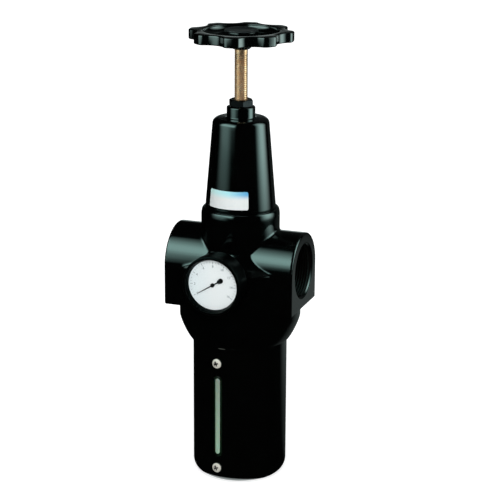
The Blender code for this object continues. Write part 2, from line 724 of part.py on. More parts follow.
def make_wheel_set(axis, plastic, steel):
    """The handwheel: a lobed rim, a dished web and a hub held by a nut under a cap."""
    outline = wheel_outline(0)
    edge = wheel_outline(RIM_EDGE)
    angles = [math.atan2(y, x) for x, y in outline]

    def ring(radius):
        return [(radius * math.cos(a), radius * math.sin(a)) for a in angles]

    within_hub = (HUB_RADIUS + HUB_RECESS_RADIUS) / 2
    rim = [
        (edge, web_bottom),
        (outline, web_bottom + RIM_EDGE),
        (outline, rim_top - RIM_EDGE),
        (edge, rim_top),
        (ring(RIM_INNER_RADIUS), rim_top),
        (ring(RIM_INNER_RADIUS - RIM_EDGE), web_top),
        (ring(within_hub), web_top),
        (ring(within_hub), web_bottom),
    ]
    wheel = add("handwheel", loft("handwheel", rim, closed=True), plastic, axis)
    bore = WHEEL_PILOT_RADIUS + SEAT_GAP
    hub = [
        (HUB_FOOT_RADIUS, hub_bottom),
        (HUB_RADIUS, web_bottom - SEAT_GAP),
        (HUB_RADIUS, hub_top),
        (HUB_RECESS_RADIUS, hub_top),
        (HUB_RECESS_RADIUS, hub_recess_floor),
        (bore, hub_recess_floor),
        (bore, hub_bottom),
    ]
    shape(wheel, "hub", turned("hub", hub, MEDIUM_FACETS, closed=True), "UNION")
    nut_bottom = hub_recess_floor + SEAT_GAP
    nut = nut_mesh("wheel_nut", WHEEL_NUT_FLATS, bore, nut_bottom, WHEEL_NUT_HEIGHT)
    add("wheel_nut", nut, steel, axis)
    cap_bottom = hub_top + SEAT_GAP
    cap_top = cap_bottom + WHEEL_CAP_THICKNESS
    spigot = HUB_RECESS_RADIUS - SEAT_GAP
    cap = [
        (spigot, cap_bottom - 2 * SEAT_GAP),
        (spigot, cap_bottom),
        (HUB_RADIUS, cap_bottom),
        (HUB_RADIUS, cap_top - WHEEL_CAP_THICKNESS / 3),
        (HUB_RADIUS - WHEEL_CAP_THICKNESS / 3, cap_top),
    ]
    add("wheel_cap", turned("wheel_cap", cap, MEDIUM_FACETS), plastic, axis)


def make_valve_housing(axis, brass):
    """The turned sleeve screwed up into the body: the valve's seat above, the filter's seat below."""
    lip_bottom = seat_height - SEAT_LIP_HEIGHT
    top = outlet_floor - SEAT_GAP
    profile = [
        (COLUMN_RADIUS, column_bottom),
        (COLUMN_RADIUS, top),
        (SEAT_HOLE_RADIUS, top),
        (SEAT_HOLE_RADIUS, lip_bottom),
        (SEAT_HOLE_RADIUS + SEAT_LIP_WIDTH, lip_bottom),
        (SEAT_HOLE_RADIUS + SEAT_LIP_WIDTH, seat_height),
        (column_bore, seat_height),
        (column_bore, column_bottom),
    ]
    add("valve_housing", turned("valve_housing", profile, LARGE_FACETS, closed=True), brass, axis)


def make_valve(axis, brass, rubber):
    """The poppet with its two stems, its seal, and the screwed-in cap that guides it."""
    poppet = [
        (GUIDE_STEM_RADIUS, guide_floor + VALVE_TRAVEL + SEAT_GAP),
        (GUIDE_STEM_RADIUS, poppet_bottom - POPPET_BOSS_HEIGHT),
        (POPPET_BOSS_RADIUS, poppet_bottom - POPPET_BOSS_HEIGHT),
        (POPPET_BOSS_RADIUS, poppet_bottom),
        (POPPET_RADIUS, poppet_bottom),
        (POPPET_RADIUS, poppet_top),
        (VALVE_STEM_RADIUS, poppet_top),
        (VALVE_STEM_RADIUS, relief_bottom - SEAT_GAP),
    ]
    add("valve_poppet", turned("valve_poppet", poppet, TINY_FACETS), brass, axis)
    seal_hole = VALVE_STEM_RADIUS + SEAT_GAP
    seal = [
        (VALVE_SEAL_RADIUS, poppet_top + SEAT_GAP),
        (VALVE_SEAL_RADIUS, valve_seal_top),
        (seal_hole, valve_seal_top),
        (seal_hole, poppet_top + SEAT_GAP),
    ]
    add("valve_seal", turned("valve_seal", seal, TINY_FACETS, closed=True), rubber, axis)

    stud_hole = STUD_RADIUS + SEAT_GAP
    guide_hole = GUIDE_STEM_RADIUS + SEAT_GAP
    cap = [
        (stud_hole, stud_top + SEAT_GAP),
        (stud_hole, valve_cap_bottom),
        (column_bore - SEAT_GAP, valve_cap_bottom),
        (column_bore - SEAT_GAP, valve_cap_top),
        (VALVE_CAP_HUB_RADIUS, valve_cap_top),
        (VALVE_CAP_HUB_RADIUS, guide_top),
        (guide_hole, guide_top),
        (guide_hole, guide_floor),
    ]
    cap = add("valve_cap", turned("valve_cap", cap, MEDIUM_FACETS), brass, axis)
    pitch_radius = (VALVE_CAP_HUB_RADIUS + column_bore) / 2
    for i in range(VALVE_CAP_HOLES):
        angle = 2 * math.pi * i / VALVE_CAP_HOLES + math.pi / MEDIUM_FACETS
        x = pitch_radius * math.cos(angle)
        y = pitch_radius * math.sin(angle)
        hole = rod("flow_hole", (x, y, 0), (x, y, guide_top), VALVE_CAP_HOLE_RADIUS, 6)
        shape(cap, f"flow_hole_{i + 1}", hole)


def vane_blades(inner, outer):
    """All swirl vanes as one mesh: tilted plates standing round the deflector's hub."""
    blades = bmesh.new()
    middle = deflector_top - DEFLECTOR_DEPTH / 2
    height = (DEFLECTOR_DEPTH - DEFLECTOR_THICKNESS) / math.cos(VANE_TILT)
    for i in range(DEFLECTOR_VANES):
        made = bmesh.ops.create_cube(blades, size=1.0)["verts"]
        place = Matrix.Rotation(2 * math.pi * i / DEFLECTOR_VANES, 4, "Z")
        place @= Matrix.Translation(((inner + outer) / 2, 0, middle))
        place @= Matrix.Rotation(VANE_TILT, 4, "X")
        place @= Matrix.Diagonal((outer - inner, VANE_THICKNESS, height, 1))
        bmesh.ops.transform(blades, matrix=place, verts=made)
    mesh = bpy.data.meshes.new("vanes")
    blades.to_mesh(mesh)
    blades.free()
    return mesh


def make_filter(axis, plastic, sintered, steel):
    """The swirl deflector, the element under it, and the baffle that a stud draws up against both."""
    outer = bowl_inner - DEFLECTOR_CLEARANCE
    plate_low = deflector_top - DEFLECTOR_THICKNESS
    hub_edge = COLUMN_RADIUS + DEFLECTOR_RING
    hub = [
        (hub_edge, plate_low),
        (hub_edge, deflector_top),
        (column_bore, deflector_top),
        (column_bore, plate_low),
    ]
    deflector = add("deflector", turned("deflector", hub, MEDIUM_FACETS, closed=True), plastic, axis)
    ring_inner = outer - DEFLECTOR_RING
    ring = [
        (outer, deflector_top - DEFLECTOR_DEPTH),
        (outer, deflector_top),
        (ring_inner, deflector_top),
        (ring_inner, deflector_top - DEFLECTOR_DEPTH),
    ]
    vanes = vane_blades(COLUMN_RADIUS + SEAT_GAP, outer - DEFLECTOR_RING / 2)
    shape(deflector, "vanes", vanes, "UNION")
    shape(deflector, "outer_ring", turned("outer_ring", ring, MEDIUM_FACETS, closed=True), "UNION")

    tube = [
        (COLUMN_RADIUS, element_bottom),
        (COLUMN_RADIUS, element_top),
        (column_bore, element_top),
        (column_bore, element_bottom),
    ]
    add("filter_element", turned("filter_element", tube, MEDIUM_FACETS, closed=True), sintered, axis)

    hole = STUD_RADIUS + SEAT_GAP
    brim = COLUMN_RADIUS + DEFLECTOR_RING
    lower = baffle_top - BAFFLE_THICKNESS
    baffle = [
        (hole, lower),
        (brim, lower),
        (baffle_radius - BAFFLE_BRIM, lower - BAFFLE_DROP),
        (baffle_radius, lower - BAFFLE_DROP),
        (brim + BAFFLE_BRIM, baffle_top),
        (hole, baffle_top),
    ]
    add("baffle", turned("baffle", baffle, MEDIUM_FACETS, closed=True), plastic, axis)
    stud = rod("element_stud", (0, 0, lower - STUD_TAIL), (0, 0, stud_top), STUD_RADIUS, SMALL_FACETS)
    add("element_stud", stud, steel, axis)
    bottom = lower - SEAT_GAP - BAFFLE_NUT_HEIGHT
    nut = nut_mesh("baffle_nut", BAFFLE_NUT_FLATS, hole, bottom, BAFFLE_NUT_HEIGHT)
    add("baffle_nut", nut, steel, axis)


def upright_slot(width, bottom, length, near, far):
    """A cutter for a round-ended upright slot in the wall that faces -Y, from near to far."""
    radius = width / 2
    outline = arc((0, bottom + radius), (radius, radius), 180, 360, 6)
    outline += arc((0, bottom + length - radius), (radius, radius), 0, 180, 6)
    rings = [[(x, -distance, z) for x, z in outline] for distance in (near, far)]
    return mesh_of("upright_slot", rings, closed=False)


def curved_bar(name, inner, outer, width, bottom, length):
    """A round-ended upright bar that follows the bowl's wall, on the side that faces -Y."""
    radius = width / 2
    across = 2
    low_end = arc((0, bottom + radius), (radius, radius), -78, 0, 3)
    high_end = arc((0, bottom + length - radius), (radius, radius), 0, 78, 3)
    sections = []
    for half_width, z in low_end + high_end:
        steps = [2 * i / across - 1 for i in range(across + 1)]
        outline = []
        for distance, order in ((outer, steps), (inner, steps[::-1])):
            for step in order:
                angle = step * half_width / outer
                outline.append((distance * math.sin(angle), -distance * math.cos(angle)))
        sections.append((outline, z))
    return loft(name, sections)


def make_bowl(bowl_axis, paint):
    """The metal bowl: straight wall, round corner, flat foot and a raised roof over the drain."""
    inner_corner = BOWL_CORNER - BOWL_WALL
    corner_centre = BOWL_RADIUS - BOWL_CORNER
    shank_hole = DRAIN_SHANK_RADIUS + SEAT_GAP
    roof_radius = DRAIN_RECESS_RADIUS + BOWL_WALL
    profile = [(shank_hole, drain_roof), (DRAIN_RECESS_RADIUS, drain_roof), (DRAIN_RECESS_RADIUS, 0)]
    profile += arc((corner_centre, BOWL_CORNER), (BOWL_CORNER, BOWL_CORNER), -90, 0, 4)
    profile += [(BOWL_RADIUS, bowl_top), (bowl_inner, bowl_top)]
    inner = (inner_corner, BOWL_CORNER - BOWL_FLOOR)
    profile += arc((corner_centre, BOWL_CORNER), inner, 0, -90, 3)
    profile += [(roof_radius, BOWL_FLOOR), (roof_radius, drain_ceiling), (shank_hole, drain_ceiling)]
    bowl = add("bowl", turned("bowl", profile, LARGE_FACETS, closed=True), paint, bowl_axis)
    beyond = BOWL_RADIUS + BOWL_WALL
    within = bowl_inner - BOWL_WALL
    shape(bowl, "sight_slot", upright_slot(SIGHT_WIDTH, SIGHT_BOTTOM, sight_length, within, beyond))
    for name, height in sight_screw_heights():
        ends = ((0, -within, height), (0, -beyond, height))
        shape(bowl, f"{name}_hole", rod(name, *ends, SIGHT_SCREW_RADIUS + SEAT_GAP, TINY_FACETS))


def make_bowl_seal(axis, rubber):
    wire = BOWL_SEAL_WIRE / 2
    middle = (bowl_inner + bowl_bore) / 2
    height = bowl_top + SEAT_GAP + wire
    profile = arc((middle, height), (wire, wire), -90, 270, 6)[:-1]
    add("bowl_seal", turned("bowl_seal", profile, MEDIUM_FACETS, closed=True), rubber, axis)


def sight_screw_heights():
    return (("lower", SIGHT_SCREW_BOTTOM), ("upper", sight_screw_top))


def make_sight_glass(bowl_axis, clear, rubber, steel, zinc):
    """A clear bar in the slot, its flange and gasket inside the wall, and the clamp the screws pull."""
    flange_width = SIGHT_WIDTH + 2 * SIGHT_FLANGE_WIDTH
    flange_bottom = SIGHT_BOTTOM - SIGHT_FLANGE_WIDTH
    flange_length = sight_length + 2 * SIGHT_FLANGE_WIDTH
    past = bowl_inner

    bar_width = SIGHT_WIDTH - 2 * SEAT_GAP
    bar_bottom = SIGHT_BOTTOM + SEAT_GAP
    bar_length = sight_length - 2 * SEAT_GAP
    bar_front = BOWL_RADIUS - SIGHT_SET_BACK
    size = (flange_width, flange_bottom, flange_length)
    lens = add("sight_lens", curved_bar("sight_lens", flange_inner, flange_outer, *size), clear, bowl_axis)
    bar = curved_bar("bar", flange_inner + SEAT_GAP, bar_front, bar_width, bar_bottom, bar_length)
    shape(lens, "bar", bar, "UNION")

    sheet = curved_bar("sight_gasket", gasket_outer - SIGHT_GASKET_THICKNESS, gasket_outer, *size)
    gasket = add("sight_gasket", sheet, rubber, bowl_axis)
    shape(gasket, "opening", upright_slot(SIGHT_WIDTH, SIGHT_BOTTOM, sight_length, clamp_inner, past))

    clamp_bottom = SIGHT_SCREW_BOTTOM - SIGHT_CLAMP_TAIL
    clamp_length = sight_screw_top + SIGHT_CLAMP_TAIL - clamp_bottom
    strip = curved_bar("sight_clamp", clamp_inner, clamp_outer, flange_width, clamp_bottom, clamp_length)
    clamp = add("sight_clamp", strip, zinc, bowl_axis)
    window = upright_slot(SIGHT_WIDTH, SIGHT_BOTTOM, sight_length, clamp_inner - BOWL_WALL, past)
    shape(clamp, "opening", window)
    boss_end = gasket_outer - SEAT_GAP
    for name, height in sight_screw_heights():
        start = (0, -(clamp_inner + SEAT_GAP), height)
        boss = rod(name, start, (0, -boss_end, height), SIGHT_BOSS_RADIUS, TINY_FACETS)
        shape(clamp, f"{name}_boss", boss, "UNION")
        hole = rod(name, (0, 0, height), (0, -past, height), SIGHT_SCREW_RADIUS + SEAT_GAP, TINY_FACETS)
        shape(clamp, f"{name}_hole", hole)

    head = BOWL_RADIUS + SEAT_GAP
    crown = arc((0, head + SIGHT_HEAD_HEIGHT / 3), (SIGHT_HEAD_RADIUS, SIGHT_HEAD_HEIGHT * 2 / 3), 0, 75, 3)
    profile = [(SIGHT_SCREW_RADIUS, clamp_inner), (SIGHT_SCREW_RADIUS, head), (SIGHT_HEAD_RADIUS, head)]
    for name, height in sight_screw_heights():
        mesh = turned("sight_screw", profile + crown, TINY_FACETS)
        screw = add(f"sight_screw_{name}", mesh, steel, bowl_axis)
        screw.location = (0, 0, height)
        screw.rotation_euler = (math.pi / 2, 0, 0)


def make_drain(bowl_axis, brass, steel, plastic):
    """The drain cock in the foot's recess: its body, the nut inside the bowl and the turning knob."""
    pin_hole = DRAIN_PIN_RADIUS + SEAT_GAP
    nut_bottom = drain_ceiling + SEAT_GAP
    shank_top = nut_bottom + DRAIN_NUT_HEIGHT + SEAT_GAP
    body = [
        (DRAIN_FLANGE_RADIUS, drain_flange_bottom),
        (DRAIN_FLANGE_RADIUS, drain_flange_bottom + DRAIN_FLANGE),
        (DRAIN_SHANK_RADIUS, drain_flange_bottom + DRAIN_FLANGE),
        (DRAIN_SHANK_RADIUS, shank_top),
        (pin_hole, shank_top),
        (pin_hole, drain_flange_bottom),
    ]
    add("drain_body", turned("drain_body", body, TINY_FACETS, closed=True), brass, bowl_axis)
    hole = DRAIN_SHANK_RADIUS + SEAT_GAP
    nut = nut_mesh("drain_nut", DRAIN_NUT_FLATS, hole, nut_bottom, DRAIN_NUT_HEIGHT)
    add("drain_nut", nut, steel, bowl_axis)

    knob_top = drain_flange_bottom - SEAT_GAP
    knob_bottom = knob_top - DRAIN_KNOB_HEIGHT
    edge = DRAIN_KNOB_RADIUS / 8
    knob = [
        (DRAIN_KNOB_RADIUS - edge, knob_bottom),
        (DRAIN_KNOB_RADIUS, knob_bottom + edge),
        (DRAIN_KNOB_RADIUS, knob_top - edge),
        (DRAIN_KNOB_RADIUS - edge, knob_top),
        (DRAIN_PIN_RADIUS, knob_top),
        (DRAIN_PIN_RADIUS, knob_top + DRAIN_PIN_LENGTH),
    ]
    knob = add("drain_knob", turned("drain_knob", knob, SMALL_FACETS), plastic, bowl_axis)
    for i in range(DRAIN_KNOB_FLUTES):
        angle = 2 * math.pi * (i + 0.5) / DRAIN_KNOB_FLUTES
        x = DRAIN_KNOB_RADIUS * math.cos(angle)
        y = DRAIN_KNOB_RADIUS * math.sin(angle)
        ends = ((x, y, knob_bottom - edge), (x, y, knob_top + edge))
        shape(knob, f"flute_{i + 1}", rod("flute", *ends, DRAIN_KNOB_FLUTE_RADIUS, 6))


def make_gauge(gauge_axis, dark, steel, white, clear, brass):
    """The gauge, built along the line that it faces: socket, case, dial, pointer, lens and bezel."""
    hex_back = PAD_OFFSET + SEAT_GAP
    hex_front = hex_back + GAUGE_HEX_LENGTH
    stem = PAD_BORE_RADIUS - SEAT_GAP
    hexagon = polygon(6, GAUGE_HEX_FLATS, TINY_FACETS)
    round_stem = circle(stem, TINY_FACETS)
    sections = [(round_stem, hex_back - GAUGE_STEM_LENGTH), (round_stem, hex_back)]
    sections += [(hexagon, hex_back), (hexagon, hex_front)]
    add("gauge_socket", loft("gauge_socket", sections), brass, gauge_axis)

    bezel_inner = GAUGE_RADIUS - BEZEL_WALL
    case = bezel_inner - SEAT_GAP
    bore = case - GAUGE_CASE_WALL
    ledge = bore - DIAL_LEDGE
    dial_back = dial_face - DIAL_THICKNESS
    ledge_top = dial_back - SEAT_GAP
    profile = [
        (case - GAUGE_CASE_WALL, gauge_back),
        (case, gauge_back + GAUGE_CASE_WALL),
        (case, case_front),
        (bore, case_front),
        (bore, ledge_top),
        (ledge, ledge_top),
        (ledge, gauge_back + GAUGE_CASE_WALL + DIAL_LEDGE),
    ]
    add("gauge_case", turned("gauge_case", profile, LARGE_FACETS), dark, gauge_axis)

    dial_hole = POINTER_STAFF_RADIUS + SEAT_GAP
    dial_edge = bore - SEAT_GAP
    dial = [(dial_edge, dial_back), (dial_edge, dial_face), (dial_hole, dial_face), (dial_hole, dial_back)]
    add("gauge_dial", turned("gauge_dial", dial, MEDIUM_FACETS, closed=True), white, gauge_axis)

    lens_edge = bezel_inner - SEAT_GAP
    lens = [(lens_edge, lens_front - GAUGE_LENS_THICKNESS), (lens_edge, lens_front)]
    add("gauge_lens", turned("gauge_lens", lens, MEDIUM_FACETS), clear, gauge_axis)
    bezel = [
        (GAUGE_RADIUS, gauge_front - BEZEL_LENGTH),
        (GAUGE_RADIUS, gauge_front - BEZEL_EDGE),
        (GAUGE_RADIUS - BEZEL_EDGE, gauge_front),
        (GAUGE_WINDOW_RADIUS, gauge_front),
        (GAUGE_WINDOW_RADIUS, gauge_front - BEZEL_LIP),
        (bezel_inner, gauge_front - BEZEL_LIP),
        (bezel_inner, gauge_front - BEZEL_LENGTH),
    ]
    add("gauge_bezel", turned("gauge_bezel", bezel, LARGE_FACETS, closed=True), dark, gauge_axis)

    boss_back = dial_face + SEAT_GAP
    boss_front = boss_back + POINTER_BOSS_HEIGHT
    staff = [
        (POINTER_STAFF_RADIUS, dial_back - DIAL_DEPTH),
        (POINTER_STAFF_RADIUS, boss_back),
        (POINTER_BOSS_RADIUS, boss_back),
        (POINTER_BOSS_RADIUS, boss_front),
    ]
    pointer = add("gauge_pointer", turned("gauge_pointer", staff, TINY_FACETS), dark, gauge_axis)
    pointer.rotation_euler = (0, 0, POINTER_REST)
    waist = POINTER_STAFF_RADIUS
    tail = POINTER_TAIL_WIDTH / 2
    tail_start = POINTER_TAIL - POINTER_TAIL_LENGTH
    blade = [
        (POINTER_LENGTH, -waist / 4),
        (POINTER_LENGTH, waist / 4),
        (0, waist),
        (-POINTER_TAIL / 2, waist / 2),
        (-tail_start, tail),
        (-POINTER_TAIL, tail),
        (-POINTER_TAIL, -tail),
        (-tail_start, -tail),
        (-POINTER_TAIL / 2, -waist / 2),
        (0, -waist),
    ]
    blade_back = boss_back + SEAT_GAP
    flat = loft("blade", [(blade, blade_back), (blade, blade_back + POINTER_BLADE)])
    shape(pointer, "blade", flat, "UNION")


def make_rear_plug(rear_axis, zinc):
    """The socket plug that closes the second gauge port."""
    collar_back = PAD_OFFSET + SEAT_GAP
    collar_front = collar_back + PLUG_COLLAR
    thread = circle(PAD_BORE_RADIUS - SEAT_GAP, SMALL_FACETS)
    collar = circle(PLUG_COLLAR_RADIUS, SMALL_FACETS)
    socket = polygon(6, PLUG_SOCKET_FLATS, SMALL_FACETS)
    sections = [
        (thread, collar_back - PLUG_LENGTH),
        (thread, collar_back),
        (collar, collar_back),
        (collar, collar_front),
        (socket, collar_front),
        (socket, collar_front - PLUG_SOCKET_DEPTH),
    ]
    add("rear_plug", loft("rear_plug", sections), zinc, rear_axis)


def clear_scene():
    for old in list(bpy.data.objects):
        bpy.data.objects.remove(old, do_unlink=True)


def build():
    clear_scene()
    paint = material("black_paint", (0.012, 0.013, 0.014), 0.28)
    plastic = material("black_plastic", (0.015, 0.015, 0.016), 0.35)
    inner_plastic = material("inner_plastic", (0.05, 0.05, 0.055), 0.5)
    brass = material("brass", (0.62, 0.42, 0.16), 0.3, 1.0)
    steel = material("spring_steel", (0.45, 0.45, 0.46), 0.35, 1.0)
    zinc = material("zinc_plate", (0.68, 0.67, 0.63), 0.35, 1.0)
    dark = material("blackened_steel", (0.02, 0.02, 0.022), 0.35, 0.4)
    rubber = material("rubber", (0.012, 0.012, 0.012), 0.7)
    sintered = material("sintered_filter", (0.75, 0.74, 0.7), 0.9)
    white = material("dial_white", (0.85, 0.87, 0.88), 0.5)
    glass = material("clear_lens", (0.8, 0.88, 0.88), 0.05, 0.0, 0.3)
    sight = material("sight_glass", (0.32, 0.4, 0.34), 0.1, 0.0, 0.6)

    axis = empty("body_axis", (0, axis_y, 0))
    bowl_axis = empty("bowl_axis", (0, 0, 0), axis, (0, 0, SIGHT_TURN))
    gauge_axis = empty("gauge_axis", (0, 0, port_height), axis, (math.pi / 2, 0, 0))
    rear_axis = empty("rear_axis", (0, 0, port_height), axis, (-math.pi / 2, 0, 0))

    make_bowl(bowl_axis, paint)
    make_bowl_seal(axis, rubber)
    make_sight_glass(bowl_axis, sight, rubber, zinc, steel)
    make_drain(bowl_axis, brass, steel, plastic)
    make_valve_body(axis, paint)
    make_filter(axis, inner_plastic, sintered, steel)
    make_valve_housing(axis, brass)
    make_valve(axis, brass, rubber)
    make_diaphragm_set(axis, rubber, brass, steel)
    make_springs(axis, steel)
    make_bonnet(axis, paint)
    make_screw_set(axis, zinc, brass, dark)
    make_wheel_set(axis, plastic, steel)
    make_gauge(gauge_axis, dark, steel, white, glass, brass)
    make_rear_plug(rear_axis, zinc)


build()
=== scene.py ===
"""Looks of a filter regulator: black enamelled castings, brass screw, lobed handwheel, white dial."""
import math

import bmesh
import bpy
from mathutils import Matrix, Vector


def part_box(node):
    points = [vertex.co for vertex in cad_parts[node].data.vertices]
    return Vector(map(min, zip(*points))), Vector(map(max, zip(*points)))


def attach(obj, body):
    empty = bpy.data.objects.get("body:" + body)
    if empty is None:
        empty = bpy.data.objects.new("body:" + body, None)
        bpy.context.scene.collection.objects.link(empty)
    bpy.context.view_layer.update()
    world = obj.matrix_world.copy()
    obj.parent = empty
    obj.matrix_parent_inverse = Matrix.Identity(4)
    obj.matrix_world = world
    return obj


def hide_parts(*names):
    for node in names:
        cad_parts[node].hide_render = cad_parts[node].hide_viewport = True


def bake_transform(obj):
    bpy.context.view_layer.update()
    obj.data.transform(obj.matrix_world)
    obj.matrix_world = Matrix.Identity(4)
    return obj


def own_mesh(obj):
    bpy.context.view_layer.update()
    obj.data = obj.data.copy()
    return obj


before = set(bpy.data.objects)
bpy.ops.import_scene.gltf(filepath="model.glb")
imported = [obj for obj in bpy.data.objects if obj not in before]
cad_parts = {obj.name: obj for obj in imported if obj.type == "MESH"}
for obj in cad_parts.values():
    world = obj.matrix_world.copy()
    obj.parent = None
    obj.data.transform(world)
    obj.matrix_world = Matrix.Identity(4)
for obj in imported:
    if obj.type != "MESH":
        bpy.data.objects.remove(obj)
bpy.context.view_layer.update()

# Camera: a long lens, 20 degrees to the right of the gauge's own direction and looking down a little.
# All of the studio is placed by angles from this view, so the softboxes mirror where the paint shows them.
VIEW_TURN = math.radians(20.25)
VIEW_PITCH = math.radians(16.29)
VIEW_YAW = math.radians(-0.324)
VIEW_ROLL = math.radians(0.318)
VIEW_DISTANCE = 1.4972
VIEW_RISE = 0.4503
FOCAL_LENGTH = 126.57
SENSOR_WIDTH = 36.0


def corners_of(node):
    """A CAD node's lowest and highest corners at rest."""
    return [Vector(corner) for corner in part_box(node)]


low, high = corners_of("valve_housing")
AXIS_Y = (low.y + high.y) / 2
low, high = corners_of("gauge_socket")
PORT_HEIGHT = (low.z + high.z) / 2

camera = bpy.data.objects.new("camera", bpy.data.cameras.new("camera"))
camera.data.lens = FOCAL_LENGTH
camera.data.sensor_width = SENSOR_WIDTH
camera.data.clip_end = 20.0
towards = Vector((-math.sin(VIEW_TURN) * math.cos(VIEW_PITCH), math.cos(VIEW_TURN) * math.cos(VIEW_PITCH),
                  -math.sin(VIEW_PITCH)))
towards = Matrix.Rotation(VIEW_YAW, 3, "Z") @ towards
right = towards.cross(Vector((0, 0, 1))).normalized()
up = right.cross(towards)
turned_right = math.cos(VIEW_ROLL) * right + math.sin(VIEW_ROLL) * up
turned_up = math.cos(VIEW_ROLL) * up - math.sin(VIEW_ROLL) * right
place = Matrix((turned_right, turned_up, -towards)).transposed().to_4x4()
place.translation = (VIEW_DISTANCE * math.sin(VIEW_TURN), AXIS_Y - VIEW_DISTANCE * math.cos(VIEW_TURN),
                     PORT_HEIGHT + VIEW_RISE)
camera.matrix_world = place
bpy.context.scene.collection.objects.link(camera)
bpy.context.scene.camera = camera

# Studio: a matt white sweep, round the object on all sides. Its own white is what the camera, metal and
# glass see, and its diffuse part takes the object's shadow.
SWEEP_RADIUS = 4.0
SWEEP_STEPS = 96
FLOOR_WHITE = 0.72
SHADE_NEAR = 0.05
SHADE_FAR = 0.5


def join(tree, node, links):
    """Fills a node's inputs, each from a socket or with a plain value."""
    for name, value in links.items():
        if isinstance(value, bpy.types.NodeSocket):
            tree.links.new(value, node.inputs[name])
        else:
            node.inputs[name].default_value = value


def add_node(tree, kind, settings=None, links=None):
    """Adds a node; settings are its own properties, links are its inputs as sockets or plain values."""
    made = tree.nodes.new(kind)
    for name, value in (settings or {}).items():
        setattr(made, name, value)
    join(tree, made, links or {})
    return made


def linear(code):
    """An sRGB hex colour as linear red, green, blue and full alpha."""
    parts = [int(code[i:i + 2], 16) / 255 for i in (1, 3, 5)]
    return [p / 12.92 if p <= 0.04045 else ((p + 0.055) / 1.055) ** 2.4 for p in parts] + [1.0]


def empty_material(name):
    """A new material and its tree, with no node in it yet."""
    made = bpy.data.materials.new(name)
    made.use_nodes = True
    made.node_tree.nodes.clear()
    return made, made.node_tree


def white_sweep(name, lift):
    """Matt white paper: its own white grows from lift beside the object to full white further out."""
    made, tree = empty_material(name)
    rays = add_node(tree, "ShaderNodeLightPath")
    seen = add_node(tree, "ShaderNodeMath", {"operation": "MAXIMUM"},
                    {0: rays.outputs["Is Camera Ray"], 1: rays.outputs["Is Glossy Ray"]})
    seen = add_node(tree, "ShaderNodeMath", {"operation": "MAXIMUM"},
                    {0: seen.outputs[0], 1: rays.outputs["Is Transmission Ray"]})
    where = add_node(tree, "ShaderNodeTexCoord").outputs["Object"]
    far = add_node(tree, "ShaderNodeVectorMath", {"operation": "LENGTH"}, {0: where})
    own = add_node(tree, "ShaderNodeMapRange", {"interpolation_type": "SMOOTHSTEP"}, {
        "Value": far.outputs["Value"], "From Min": SHADE_NEAR, "From Max": SHADE_FAR,
        "To Min": lift, "To Max": 1.0})
    strength = add_node(tree, "ShaderNodeMath", {"operation": "MULTIPLY"},
                        {0: seen.outputs[0], 1: own.outputs["Result"]})
    matt = add_node(tree, "ShaderNodeBsdfDiffuse", links={"Color": linear("#D8DADA")})
    glow = add_node(tree, "ShaderNodeEmission", links={"Strength": strength.outputs[0]})
    both = add_node(tree, "ShaderNodeAddShader", links={0: matt.outputs[0], 1: glow.outputs[0]})
    add_node(tree, "ShaderNodeOutputMaterial", links={"Surface": both.outputs[0]})
    return made


def mesh_from(name, shape):
    """The mesh of an edit shape, which is then freed."""
    mesh = bpy.data.meshes.new(name)
    shape.to_mesh(mesh)
    shape.free()
    return mesh


def plain_object(name, mesh, finish):
    """Links a mesh to the scene as an object at the origin, with one finish."""
    mesh.materials.clear()
    mesh.materials.append(finish)
    piece = bpy.data.objects.new(name, mesh)
    bpy.context.scene.collection.objects.link(piece)
    return piece


def half_dome(radius, around, upwards):
    """The upper half of a sphere as an edit shape, down to its middle ring."""
    shape = bmesh.new()
    bmesh.ops.create_uvsphere(shape, u_segments=around, v_segments=upwards, radius=radius)
    under = [v for v in shape.verts if v.co.z < -0.01]
    bmesh.ops.delete(shape, geom=under, context="VERTS")
    return shape


def hide_from(thing, *kinds):
    """Keeps a part of the studio out of these kinds of light ray."""
    for kind in kinds:
        setattr(thing, f"visible_{kind}", False)


shape = bmesh.new()
bmesh.ops.create_circle(shape, cap_ends=True, segments=SWEEP_STEPS, radius=SWEEP_RADIUS)
floor = plain_object("floor", mesh_from("floor", shape), white_sweep("matt_white_floor", FLOOR_WHITE))

shape = half_dome(SWEEP_RADIUS, SWEEP_STEPS, SWEEP_STEPS // 2)
bmesh.ops.reverse_faces(shape, faces=shape.faces)
backdrop = plain_object("backdrop", mesh_from("backdrop", shape), white_sweep("matt_white_backdrop", 1.0))
hide_from(backdrop, "diffuse", "shadow")

# Black cards keep black enamel black: they stand between the sweep and the object, on the table too, and
# only mirror rays see them. Behind the object the table's card is a dark grey, and the upright one has a
# faint pale band low down.
CARD_RADIUS = 3.0
CARD_STEPS = 90
CARD_ROWS = 46
CARD_LIFT = 0.0005
TABLE_CARD_INNER = 0.031
GREY_TURN = 148
BAND_TURN = 180
BLACK_LEVEL = 0.002
VIEW_AZIMUTH = math.radians(-90) + VIEW_TURN


def from_view(turn):
    """A level direction by its turn from the camera's, to the right."""
    angle = VIEW_AZIMUTH + math.radians(turn)
    return Vector((math.cos(angle), math.sin(angle), 0.0))


def round_points(radius, count):
    """Even points round a circle, as x and y."""
    return [(radius * math.cos(math.tau * i / count), radius * math.sin(math.tau * i / count))
            for i in range(count)]


card, tree = empty_material("black_velvet_card")
where = add_node(tree, "ShaderNodeTexCoord").outputs["Object"]
level = add_node(tree, "ShaderNodeVectorMath", {"operation": "MULTIPLY"}, {0: where, 1: (1.0, 1.0, 0.0)})
far = add_node(tree, "ShaderNodeVectorMath", {"operation": "LENGTH"}, {0: level.outputs["Vector"]})
level = add_node(tree, "ShaderNodeVectorMath", {"operation": "NORMALIZE"}, {0: level.outputs["Vector"]})

